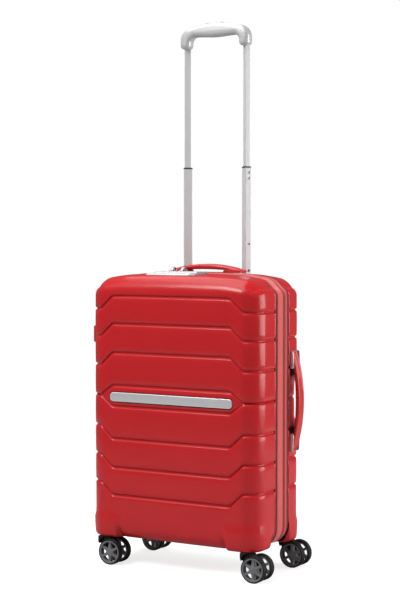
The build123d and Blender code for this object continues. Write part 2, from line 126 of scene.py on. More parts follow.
class Tree:
    """One material's node tree with a Principled shader in it."""

    def __init__(self, name: str) -> None:
        """Start an empty material.

        Args:
            name: The material's name.
        """
        self.material = bpy.data.materials.new(name)
        self.material.use_nodes = True
        self.nodes = self.material.node_tree.nodes
        self.links = self.material.node_tree.links
        self.nodes.clear()
        self.shader = self.nodes.new("ShaderNodeBsdfPrincipled")
        out = self.nodes.new("ShaderNodeOutputMaterial")
        self.links.new(self.shader.outputs[0], out.inputs[0])

    def node(self, kind: str, settings: dict, sockets: dict, output: int | str = 0) -> Value:
        """Add one node.

        Args:
            kind: The node's type.
            settings: Properties, and "stops" for a ramp, set before the sockets.
            sockets: Input name or index to a value or a Value.
            output: The output to give back.

        Returns:
            The chosen output.
        """
        made = self.nodes.new(kind)
        for key, setting in settings.items():
            if key == "stops":
                ramp = made.color_ramp
                for k, (place, colour) in enumerate(setting):
                    stop = ramp.elements[k] if k < 2 else ramp.elements.new(place)
                    stop.position, stop.color = place, (*colour, 1.0)
            else:
                setattr(made, key, setting)
        for key, given in sockets.items():
            self.feed(made.inputs[key], given)
        return Value(self, made.outputs[output])

    def feed(self, socket: bpy.types.NodeSocket, given: "Value | float | Sequence[float]") -> None:
        """Link or set one input socket.

        Args:
            socket: The input socket.
            given: A Value to link, or a constant.
        """
        if isinstance(given, Value):
            self.links.new(given.socket, socket)
        elif isinstance(given, (tuple, list)) and socket.type == "RGBA":
            socket.default_value = (*given, 1.0)
        else:
            socket.default_value = given

    def set(self, **sockets: "Value | float | Sequence[float]") -> None:
        """Feed sockets of the shader; a name's underscores stand for spaces."""
        for key, given in sockets.items():
            self.feed(self.shader.inputs[key.replace("_", " ")], given)

    def place(self) -> Value:
        """Object coordinates, in metres."""
        return self.node("ShaderNodeTexCoord", {}, {}, "Object")

    def axis(self, name: str) -> Value:
        """One Object coordinate, X, Y or Z."""
        return self.node("ShaderNodeSeparateXYZ", {}, {0: self.place()}, name)

    def stretched(self, scale: Point) -> Value:
        """Object coordinates scaled by axis, for grain that runs one way."""
        return self.node("ShaderNodeMapping", {}, {"Vector": self.place(), "Scale": scale})

    def noise(self, scale: float, detail: float = 2.0, at: Value | None = None) -> Value:
        """Noise from 0 to 1 on Object coordinates, or at the given place."""
        sockets = {"Vector": at or self.place(), "Scale": scale, "Detail": detail}
        return self.node("ShaderNodeTexNoise", {}, sockets)

    def blend(self, factor: Value | float, low: Colour, high: Colour) -> Value:
        """A colour between low and high.

        Args:
            factor: 0 for low, 1 for high.
            low: The colour at 0.
            high: The colour at 1.

        Returns:
            The mixed colour.
        """
        made = self.nodes.new("ShaderNodeMix")
        made.data_type = "RGBA"
        for socket, given in ((made.inputs[0], factor), (made.inputs[6], low), (made.inputs[7], high)):
            self.feed(socket, given)
        return Value(self, made.outputs[2])

    def bump(self, height: Value, depth: float, strength: float = 1.0) -> Value:
        """A normal from a height that goes from 0 to 1 over depth metres."""
        sockets = {"Height": height, "Distance": depth, "Strength": strength}
        return self.node("ShaderNodeBump", {}, sockets, "Normal")


# ---------------------------------------------------------------- finishes
@dataclass(frozen=True)
class Finish:
    """What every finish has: a name and a base colour."""

    name: str
    colour: Colour

    def shades(self, spread: float) -> tuple[Colour, Colour]:
        """A slightly darker and a slightly lighter base colour."""
        lighter = tuple(min(1.0, c * (1 + spread)) for c in self.colour)
        return tuple(c * (1 - spread) for c in self.colour), lighter


@dataclass(frozen=True)
class MouldedPlastic(Finish):
    """Injection-moulded plastic with a fine skin and slight unevenness of gloss."""

    roughness: float = 0.3
    grain: float = 900.0
    grain_depth: float = 0.00002
    metallic: float = 0.0
    specular: float = 0.5

    def make(self) -> bpy.types.Material:
        """Build the material.

        Returns:
            The material.
        """
        tree = Tree(self.name)
        cloud, fine = tree.noise(14.0, 3.0), tree.noise(self.grain, 2.0)
        scuffs = tree.noise(60.0, 5.0, tree.stretched((1.0, 1.0, 6.0)))
        low, high = self.shades(0.05)
        tree.set(Base_Color=tree.blend(cloud, low, high), Metallic=self.metallic,
                 Roughness=cloud * 0.06 + scuffs * 0.05 + (self.roughness - 0.055),
                 Normal=tree.bump(fine, self.grain_depth))
        tree.shader.inputs["Specular IOR Level"].default_value = self.specular
        return tree.material


@dataclass(frozen=True)
class BrushedMetal(Finish):
    """Metal with a fine grain that runs along one axis."""

    along: Point = (1.0, 60.0, 60.0)
    roughness: float = 0.32
    metallic: float = 1.0

    def make(self) -> bpy.types.Material:
        """Build the material.

        Returns:
            The material.
        """
        tree = Tree(self.name)
        lines = tree.noise(70.0, 6.0, tree.stretched(self.along))
        cloud = tree.noise(9.0, 2.0)
        low, high = self.shades(0.1)
        tree.set(Base_Color=tree.blend(lines, low, high), Metallic=self.metallic,
                 Roughness=lines * 0.16 + cloud * 0.06 + (self.roughness - 0.11),
                 Normal=tree.bump(lines, 0.00002))
        return tree.material


@dataclass(frozen=True)
class Woven(Finish):
    """Cloth or tape with crossing threads; pitch is the distance between threads."""

    pitch: float = 0.0011
    depth: float = 0.00025
    roughness: float = 0.8
    across: tuple[str, str] = ("Y", "Z")

    def make(self) -> bpy.types.Material:
        """Build the material.

        Returns:
            The material.
        """
        tree = Tree(self.name)
        first, second = (tree.axis(a).wave(self.pitch) for a in self.across)
        weave, slub = first * second, tree.noise(40.0, 4.0)
        low, high = self.shades(0.35)
        tree.set(Base_Color=tree.blend(weave * 0.7 + slub * 0.3, low, high),
                 Roughness=slub * 0.12 + (self.roughness - 0.06), Normal=tree.bump(weave, self.depth))
        tree.shader.inputs["Sheen Weight"].default_value = 0.25
        return tree.material


@dataclass(frozen=True)
class Lining(Finish):
    """Smooth polyester lining with a woven-in diamond figure."""

    figure: float = 0.022

    def make(self) -> bpy.types.Material:
        """Build the material.

        Returns:
            The material.
        """
        tree = Tree(self.name)
        x, z = tree.axis("X"), tree.axis("Z")
        up, down = (x + z).wave(self.figure), (x - z).wave(self.figure)
        lines = (up > 0.93) + (down > 0.93)
        threads = (x + tree.axis("Y")).wave(0.0007) * z.wave(0.0007)
        low, high = self.shades(0.3)
        tree.set(Base_Color=tree.blend((lines * 0.8 + threads * 0.2).clamped(), low, high),
                 Roughness=threads * 0.1 + 0.55 - lines * 0.12, Normal=tree.bump(threads, 0.00008))
        tree.shader.inputs["Sheen Weight"].default_value = 0.2
        return tree.material


@dataclass(frozen=True)
class Netting(Finish):
    """Knitted mesh with open holes."""

    pitch: float = 0.0026

    def make(self) -> bpy.types.Material:
        """Build the material.

        Returns:
            The material.
        """
        tree = Tree(self.name)
        x, z = tree.axis("X"), tree.axis("Z")
        holes = (x + z).wave(self.pitch) * (x - z).wave(self.pitch)
        low, high = self.shades(0.3)
        tree.set(Base_Color=tree.blend(holes, low, high), Roughness=tree.noise(300.0) * 0.1 + 0.6,
                 Alpha=1.0 - (holes > 0.34))
        return tree.material


@dataclass(frozen=True)
class SplitPlate(Finish):
    """Satin lock plate whose end with the key is darker."""

    end_colour: Colour
    end_from: float = 0.0265

    def make(self) -> bpy.types.Material:
        """Build the material.

        Returns:
            The material.
        """
        tree = Tree(self.name)
        x, cloud, grain = tree.axis("X"), tree.noise(30.0, 3.0), tree.noise(1200.0)
        end = x > self.end_from
        tree.set(Base_Color=tree.blend(end, self.colour, self.end_colour), Metallic=0.15 - end * 0.1,
                 Roughness=cloud * 0.08 + 0.24, Normal=tree.bump(grain, 0.00001))
        return tree.material


@dataclass(frozen=True)
class Knurled(Finish):
    """Thumb wheel with fine ribs round its rim."""

    ribs: float = 0.0014

    def make(self) -> bpy.types.Material:
        """Build the material.

        Returns:
            The material.
        """
        tree = Tree(self.name)
        ribs = (tree.axis("Y") + tree.axis("Z")).wave(self.ribs)
        low, high = self.shades(0.4)
        tree.set(Base_Color=tree.blend(ribs, low, high), Roughness=ribs * 0.1 + 0.4, Normal=tree.bump(ribs, 0.0003))
        return tree.material


@dataclass(frozen=True)
class Rubber(Finish):
    """Soft wheel tread, dull with dust in its grain."""

    def make(self) -> bpy.types.Material:
        """Build the material.

        Returns:
            The material.
        """
        tree = Tree(self.name)
        dust, fine = tree.noise(120.0, 5.0), tree.noise(1500.0)
        low, high = self.shades(0.3)
        tree.set(Base_Color=tree.blend(dust, low, high), Roughness=dust * 0.2 + 0.5,
                 Normal=tree.bump(fine, 0.00004))
        tree.shader.inputs["Specular IOR Level"].default_value = 0.2
        return tree.material


class Palette:
    """All finishes of the suitcase, each made once."""

    RED: Colour = (0.47, 0.0155, 0.019)

    def __init__(self) -> None:
        """Make every material."""
        grey = (0.30, 0.31, 0.325)
        self.shell = MouldedPlastic("shell_red", self.RED, roughness=0.22, specular=0.26).make()
        # Darker red for the red handle's pivot blocks, also used for the painted-shade strips under that handle.
        self.dark_red_and_painted_shade = MouldedPlastic("shell_red_inside", (0.30, 0.012, 0.014), roughness=0.5).make()
        self.handle = MouldedPlastic("handle_red", (0.50, 0.02, 0.022), roughness=0.30, specular=0.35).make()
        self.tape = Woven("band_red", (0.66, 0.085, 0.08)).make()
        self.tape_light = Woven("piping_red", (0.62, 0.08, 0.075), pitch=0.0016).make()
        self.tape_dark = Woven("zip_tape_red", (0.22, 0.008, 0.01)).make()
        self.coil = MouldedPlastic("zip_coil", (0.10, 0.006, 0.008), roughness=0.4).make()
        self.gusset = Woven("gusset_dark", (0.20, 0.012, 0.014), pitch=0.0014).make()
        self.trim = BrushedMetal("trim_brushed", (0.64, 0.64, 0.655), roughness=0.40, metallic=0.6).make()
        self.tube = BrushedMetal("tube_satin", (0.56, 0.56, 0.575), along=(60.0, 60.0, 1.0), roughness=0.48,
                                 metallic=0.15).make()
        self.silver = MouldedPlastic("grip_silver", (0.50, 0.50, 0.51), roughness=0.34, metallic=0.2).make()
        self.bracket = MouldedPlastic("bracket_silver", (0.62, 0.63, 0.66), roughness=0.3, metallic=0.6).make()
        self.lock = MouldedPlastic("lock_silver", (0.80, 0.80, 0.82), roughness=0.28, metallic=0.5).make()
        self.lock_plate = SplitPlate("lock_plate", (0.76, 0.76, 0.77), grey).make()
        self.dial = Knurled("dial_dark", (0.05, 0.05, 0.055)).make()
        self.foot = MouldedPlastic("foot_red", (0.36, 0.014, 0.016), roughness=0.42).make()
        self.fold = Woven("band_fold_red", (0.48, 0.03, 0.03)).make()
        self.zip_metal = BrushedMetal("zip_nickel", (0.42, 0.42, 0.415), roughness=0.30, metallic=0.5).make()
        self.steel = BrushedMetal("steel_pin", (0.62, 0.62, 0.64), along=(60.0, 1.0, 60.0), roughness=0.3).make()
        self.black = MouldedPlastic("fork_black", (0.009, 0.009, 0.0095), roughness=0.38, specular=0.25).make()
        self.black_soft = MouldedPlastic("bezel_black", (0.02, 0.02, 0.022), roughness=0.5,
                                         grain_depth=0.00006).make()
        self.hub = MouldedPlastic("hub_grey", (0.135, 0.135, 0.145), roughness=0.42, grain_depth=0.00004).make()
        self.tyre = Rubber("tyre_black", (0.009, 0.009, 0.0095)).make()
        self.lining = Lining("lining_grey", (0.10, 0.10, 0.11)).make()
        self.netting = Netting("pocket_net", (0.05, 0.05, 0.055)).make()
        self.webbing = Woven("strap_webbing", (0.045, 0.045, 0.05), pitch=0.0018, across=("X", "Z")).make()


# ---------------------------------------------------------------- hand tools
class Element(Enum):
    """What is picked in edit mode."""

    VERT = "vertices"
    EDGE = "edges"
    FACE = "polygons"


class Axis(Enum):
    """The three frame axes."""

    X = Vector((1, 0, 0))
    Y = Vector((0, 1, 0))
    Z = Vector((0, 0, 1))


class Bench:
    """Modelling steps as done by hand. Each leaves its piece at the origin with its place in its mesh."""

    @staticmethod
    def clear() -> None:
        """Go to object mode with nothing selected."""
        if bpy.context.mode != "OBJECT":
            bpy.ops.object.mode_set(mode="OBJECT")
        bpy.ops.object.select_all(action="DESELECT")

    @staticmethod
    def take(piece: Piece) -> None:
        """Select one piece alone and make it active.

        Args:
            piece: The piece to select.
        """
        Bench.clear()
        piece.select_set(True)
        bpy.context.view_layer.objects.active = piece

    @staticmethod
    def settle(name: str) -> Piece:
        """Name the new primitive and put its place, turn and size into its mesh.

        Args:
            name: The new name.

        Returns:
            The settled piece.
        """
        piece = bpy.context.object
        piece.name = piece.data.name = name
        bpy.ops.object.transform_apply(location=True, rotation=True, scale=True)
        return piece

    @staticmethod
    @contextmanager
    def editing(piece: Piece, kind: Element, pick: Callable) -> Iterator[None]:
        """Edit mode with the elements that pick accepts selected.

        Args:
            piece: The piece to edit.
            kind: What is picked.
            pick: Accepts or refuses an element.
        """
        Bench.take(piece)
        bpy.ops.object.mode_set(mode="EDIT")
        bpy.ops.mesh.select_mode(type=kind.name)
        bpy.ops.mesh.select_all(action="DESELECT")
        bpy.ops.object.mode_set(mode="OBJECT")
        for element in getattr(piece.data, kind.value):
            element.select = bool(pick(element))
        bpy.ops.object.mode_set(mode="EDIT")
        yield
        bpy.ops.object.mode_set(mode="OBJECT")

    @staticmethod
    def block(name: str, low: Point, high: Point) -> Piece:
        """A box between two corners.

        Args:
            name: The piece's name.
            low: The low corner.
            high: The high corner.

        Returns:
            The box.
        """
        Bench.clear()
        middle = [(a + b) / 2 for a, b in zip(low, high)]
        bpy.ops.mesh.primitive_cube_add(size=1.0, location=middle)
        bpy.context.object.scale = [b - a for a, b in zip(low, high)]
        return Bench.settle(name)

    @staticmethod
    def rod(name: str, radius: float, length: float, centre: Point, axis: Axis = Axis.Z, sides: int = 40) -> Piece:
        """A cylinder along an axis.

        Args:
            name: The piece's name.
            radius: The rod's radius.
            length: Its length.
            centre: Its middle.
            axis: The axis it lies along.
            sides: Its number of sides.

        Returns:
            The cylinder.
        """
        Bench.clear()
        turn = axis.value.to_track_quat("Z", "Y").to_euler()
        bpy.ops.mesh.primitive_cylinder_add(vertices=sides, radius=radius, depth=length, location=centre,
                                            rotation=turn)
        return Bench.settle(name)

    @staticmethod
    def prism(name: str, outline: Sequence[Point], reach: Point) -> Piece:
        """A flat outline drawn out along reach.

        Args:
            name: The piece's name.
            outline: The outline's corners in order.
            reach: How far and which way it is drawn out.

        Returns:
            The closed prism.
        """
        Bench.clear()
        bpy.ops.mesh.primitive_circle_add(vertices=len(outline), radius=1.0, fill_type="NGON")
        piece = Bench.settle(name)
        for vertex, place in zip(piece.data.vertices, outline):
            vertex.co = place
        with Bench.editing(piece, Element.FACE, lambda f: True):
            bpy.ops.mesh.extrude_region_move(TRANSFORM_OT_translate={"value": reach})
            bpy.ops.mesh.select_all(action="SELECT")
            bpy.ops.mesh.normals_make_consistent(inside=False)
        return piece

    @staticmethod
    def spun(name: str, profile: Sequence[Point], centre: Point, axis: Axis, steps: int = 64) -> Piece:
        """A closed profile spun once round an axis.

        Args:
            name: The piece's name.
            profile: The profile's corners in order.
            centre: A point on the axis.
            axis: The axis.
            steps: The number of steps in a turn.

        Returns:
            The closed ring or disc.
        """
        Bench.clear()
        bpy.ops.mesh.primitive_circle_add(vertices=len(profile), radius=1.0, fill_type="NOTHING")
        piece = Bench.settle(name)
        for vertex, place in zip(piece.data.vertices, profile):
            vertex.co = place
        with Bench.editing(piece, Element.VERT, lambda v: True):
            bpy.ops.mesh.spin(steps=steps, angle=2 * math.pi, center=centre, axis=axis.value)
            bpy.ops.mesh.select_all(action="SELECT")
            bpy.ops.mesh.remove_doubles(threshold=1e-6)
            bpy.ops.mesh.normals_make_consistent(inside=False)
        return piece

    @staticmethod
    def lofted(name: str, sections: Sequence[Sequence[Vector]], ring: bool = True, loop: bool = False,
               ends: bool = True) -> Piece:
        """A skin over sections with equal numbers of points.

        Args:
            name: The piece's name.
            sections: The sections in order.
            ring: Each section closes on itself.
            loop: The last section joins the first.
            ends: Close the two ends, where they don't join.

        Returns:
            The piece, normals outwards where it is closed.
        """
        rows = [list(s) + ([s[0]] if ring else []) for s in sections]
        rows += [rows[0]] if loop else []
        across, along = len(rows[0]), len(rows)
        Bench.clear()
        bpy.ops.mesh.primitive_grid_add(x_subdivisions=across - 1, y_subdivisions=along - 1, size=1.0)
        piece = Bench.settle(name)
        for k, vertex in enumerate(piece.data.vertices):
            vertex.co = rows[k // across][k % across]
        with Bench.editing(piece, Element.VERT, lambda v: True):
            bpy.ops.mesh.remove_doubles(threshold=1e-7)
            if ring and ends and not loop:
                bpy.ops.mesh.select_all(action="DESELECT")
                bpy.ops.mesh.select_non_manifold(extend=False)
                bpy.ops.mesh.edge_face_add()
                bpy.ops.mesh.select_all(action="SELECT")
            if ring:
                bpy.ops.mesh.normals_make_consistent(inside=False)
        return piece

    @staticmethod
    def cut_at(piece: Piece, axis: Axis, levels: Sequence[float]) -> None:
        """Bisect a piece with planes square to an axis.

        Args:
            piece: The piece to divide.
            axis: The axis that the planes are square to.
            levels: The planes' places on it.
        """
        with Bench.editing(piece, Element.FACE, lambda f: True):
            for level in levels:
                bpy.ops.mesh.select_all(action="SELECT")
                bpy.ops.mesh.bisect(plane_co=axis.value * level, plane_no=axis.value, use_fill=False)

    @staticmethod
    def drop_faces(piece: Piece, pick: Callable) -> None:
        """Delete the faces that pick accepts."""
        with Bench.editing(piece, Element.FACE, pick):
            bpy.ops.mesh.delete(type="FACE")

    @staticmethod
    def apply(piece: Piece, kind: str, **settings: object) -> Piece:
        """Add a modifier, set it and apply it.

        Args:
            piece: The piece.
            kind: The modifier's type.
            settings: The modifier's properties.

        Returns:
            The same piece.
        """
        Bench.take(piece)
        modifier = piece.modifiers.new(kind.lower(), kind)
        for key, setting in settings.items():
            setattr(modifier, key, setting)
        bpy.ops.object.modifier_apply(modifier=modifier.name)
        return piece

    @staticmethod
    def rounded(piece: Piece, width: float, segments: int = 3, angle: float = 30.0) -> Piece:
        """Bevel the sharp edges."""
        return Bench.apply(piece, "BEVEL", width=width, segments=segments, limit_method="ANGLE",
                           angle_limit=math.radians(angle))

    @staticmethod
    def cut_by(piece: Piece, cutter: Piece, operation: str = "DIFFERENCE") -> Piece:
        """Take the cutter's shape out of the piece, and remove the cutter.

        Args:
            piece: The piece that is cut.
            cutter: The shape that cuts, removed afterwards.
            operation: The boolean operation.

        Returns:
            The same piece.
        """
        Bench.apply(piece, "BOOLEAN", object=cutter, operation=operation, solver="EXACT")
        bpy.data.objects.remove(cutter)
        return piece

    @staticmethod
    def smooth(piece: Piece, angle: float = 32.0) -> Piece:
        """Shade smooth except over sharp edges.

        Args:
            piece: The piece.
            angle: Edges sharper than this, in degrees, stay sharp.

        Returns:
            The same piece.
        """
        Bench.take(piece)
        bpy.ops.object.shade_smooth_by_angle(angle=math.radians(angle))
        return piece

    @staticmethod
    def copied(piece: Piece, name: str, move: Matrix) -> Piece:
        """A copy with its own mesh, carried by move.

        Args:
            piece: The piece to copy.
            name: The copy's name.
            move: The matrix put into the copy's mesh.

        Returns:
            The copy.
        """
        twin = piece.copy()
        twin.data = piece.data.copy()
        twin.name = twin.data.name = name
        bpy.context.scene.collection.objects.link(twin)
        twin.data.transform(move)
        if move.determinant() < 0:
            twin.data.flip_normals()
        return twin

    @staticmethod
    def joined(name: str, pieces: Sequence[Piece]) -> Piece:
        """Several pieces as one.

        Args:
            name: The name of the whole.
            pieces: The pieces, joined into the first.

        Returns:
            The joined piece.
        """
        Bench.clear()
        for piece in pieces:
            piece.select_set(True)
        bpy.context.view_layer.objects.active = pieces[0]
        bpy.ops.object.join()
        pieces[0].name = pieces[0].data.name = name
        return pieces[0]


def dress(piece: Piece, finish: bpy.types.Material, body: str, *nodes: str, slot: str | None = None) -> Piece:
    """Give a piece its finish, its body and the CAD nodes that it stands for.

    Args:
        piece: The piece.
        finish: Its material.
        body: The body that it rides on.
        slot: Not used.
        nodes: The CAD nodes that it replaces.

    Returns:
        The same piece.
    """
    piece.data.materials.clear()
    piece.data.materials.append(finish)
    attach(piece, body)
    if nodes:
        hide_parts(*nodes)
    LOG.info("%s: %d faces on %s", piece.name, len(piece.data.polygons), body)
    return piece


def ease(t: float) -> float:
    """0 to 1 with soft ends."""
    t = min(1.0, max(0.0, t))
    return t * t * (3 - 2 * t)


def soft_limit(t: float, soft: float) -> float:
    """t kept within 0 and 1, with its two corners rounded over soft.

    Args:
        t: The value.
        soft: Half the length over which each corner is rounded.

    Returns:
        The limited value.
    """
    if t <= -soft:
        return 0.0
    if t < soft:
        return (t + soft) ** 2 / (4 * soft)
    if t <= 1 - soft:
        return t
    if t < 1 + soft:
        return 1 - (1 + soft - t) ** 2 / (4 * soft)
    return 1.0


# ---------------------------------------------------------------- the case's form
@dataclass(frozen=True)
class GrooveRow:
    """One level line of a shell: its height and depth at the sides and in the middle of the face."""

    side_z: float
    middle_z: float
    side_depth: float = 0.0
    middle_depth: float = 0.0


@dataclass(frozen=True)
class CaseForm:
    """The rounded, crowned box that both halves follow."""

    half_width: float
    low: float
    high: float
    front: float
    back: float
    radius: float = 0.035
    crown: float = 0.006
    crown_from: float = 0.045
    groove_z: float = 0.319
    groove_steps: tuple[float, ...] = (0.057, 0.054, 0.052)
    groove_shift: float = 0.0235
    bar_shift: float = 0.0195
    kink_in: float = 0.126
    kink_out: float = 0.152
    groove_profile: tuple[tuple[float, float], ...] = (
        (0.0044, 0.0), (0.0034, 0.0004), (0.0020, 0.0018), (0.0008, 0.0030), (0.0, 0.0032))
    pillow: float = 0.00035
    shoulder: float = 0.0085
    shoulder_from: float = 0.100
    shoulder_depth: float = 0.080

    def groove_rows(self) -> list[GrooveRow]:
        """All rows from the lowest to the highest, grooves with the panels between them.

        Returns:
            The rows, from the lowest groove to the highest.
        """
        profile = self.groove_profile
        full = [(h, d) for h, d in profile] + [(-h, d) for h, d in reversed(profile[:-1])]
        grooves: list[list[GrooveRow]] = []
        for sign in (1, -1):
            level = self.groove_z
            pinch = [GrooveRow(level + sign * max(h, 0.0002 + h * 0.05), level + sign * (self.bar_shift + h),
                               d if h > 0 else profile[-1][1], d) for h, d in full]
            grooves.append(pinch)
            for step in self.groove_steps:
                level += sign * step
                grooves.append([GrooveRow(level + sign * h, level + sign * (self.groove_shift + h), d, d)
                                for h, d in full])
        stacked = sorted((sorted(g, key=lambda r: r.middle_z) for g in grooves), key=lambda g: g[0].middle_z)
        rows: list[GrooveRow] = list(stacked[0])
        for group in stacked[1:]:
            below, above = rows[-1], group[0]
            rows += self.panel(below, above)
            rows += group
        return rows

    def panel(self, below: GrooveRow, above: GrooveRow) -> list[GrooveRow]:
        """Rows of the slightly pillowed panel between two grooves.

        Args:
            below: The last row of the groove below.
            above: The first row of the groove above.

        Returns:
            The rows between them.
        """
        rows = []
        for k in range(1, 6):
            t = k / 6
            puff = -self.pillow * 4 * t * (1 - t)
            side_depth = below.side_depth * (1 - t) + above.side_depth * t
            rows.append(GrooveRow(below.side_z * (1 - t) + above.side_z * t,
                                  below.middle_z * (1 - t) + above.middle_z * t,
                                  side_depth or puff, puff))
        return rows

    def rounding(self) -> list[float]:
        """Distances past the core at which the rounded edges are cut, evenly spaced in angle."""
        return [self.radius * math.tan(math.radians(a)) for a in (0.001, 7.5, 15, 22.5, 30, 37.5)]

    def wrap(self, place: Vector, side: int, inset: float = 0.0) -> tuple[Vector, Vector]:
        """Carry a point of the square box onto the rounded one.

        Args:
            place: A point on the surface of the square box.
            side: -1 for the front half, +1 for the back half.
            inset: How far inside the skin the result lies.

        Returns:
            The point and its outward direction.
        """
        r = self.radius
        core_x, core_low, core_high = self.half_width - r, self.low + r, self.high - r
        core_y = (self.front + r) if side < 0 else (self.back - r)
        dx = math.copysign(max(abs(place.x) - core_x, 0.0), place.x)
        dz = max(place.z - core_high, 0.0) + min(place.z - core_low, 0.0)
        dy = min(place.y - core_y, 0.0) if side < 0 else max(place.y - core_y, 0.0)
        out = Vector((dx, dy, dz))
        out = out.normalized() if out.length > 1e-9 else Vector((0, side, 0))
        base = Vector((place.x - dx, place.y - dy, place.z - dz))
        lift = (place.z - (self.high - self.crown_from)) / self.crown_from
        drop = self.crown * (place.x / self.half_width) ** 2 * max(0.0, min(1.0, lift))
        slope = max(0.0, abs(place.x) - self.shoulder_from) / (self.half_width - self.shoulder_from)
        depth = max(0.0, 1.0 - (self.high - place.z) / self.shoulder_depth)
        drop += self.shoulder * slope ** 1.5 * depth
        return base + out * (r - inset) - Vector((0, 0, drop)), out

    def rim(self, inset: float, fine: int = 8) -> list[tuple[Vector, Vector]]:
        """Points and outward directions round the case's outline, as seen from the front.

        Args:
            inset: How far inside the skin the points lie.
            fine: Steps in each half of a rounded corner.

        Returns:
            Points with their outward directions, in order round the case.
        """
        r, points = self.radius, []
        core_x, core_low, core_high = self.half_width - r, self.low + r, self.high - r

        def add(x: float, z: float) -> None:
            """Add the outline point that belongs to this place on the square outline."""
            points.append(self.wrap(Vector((x, 0.0, z)), -1, inset))

        angles = [math.tan(math.radians(45 * k / fine)) * r for k in range(fine)]
        for k in range(17):
            add(-core_x + 2 * core_x * k / 16, self.high)
        for t in angles[1:]:
            add(core_x + t, self.high)
        for t in reversed(angles):
            add(self.half_width, core_high + t)
        for k in range(1, 9):
            add(self.half_width, core_high + (core_low - core_high) * k / 8)
        for t in angles[1:]:
            add(self.half_width, core_low - t)
        for t in reversed(angles):
            add(core_x + t, self.low)
        for k in range(1, 9):
            add(core_x - 2 * core_x * k / 8, self.low)
        for t in angles[1:]:
            add(-core_x - t, self.low)
        for t in reversed(angles):
            add(-self.half_width, core_low - t)
        for k in range(1, 9):
            add(-self.half_width, core_low + (core_high - core_low) * k / 8)
        for t in angles[1:]:
            add(-self.half_width, core_high + t)
        for t in reversed(angles[1:]):
            add(-core_x - t, self.high)
        return points


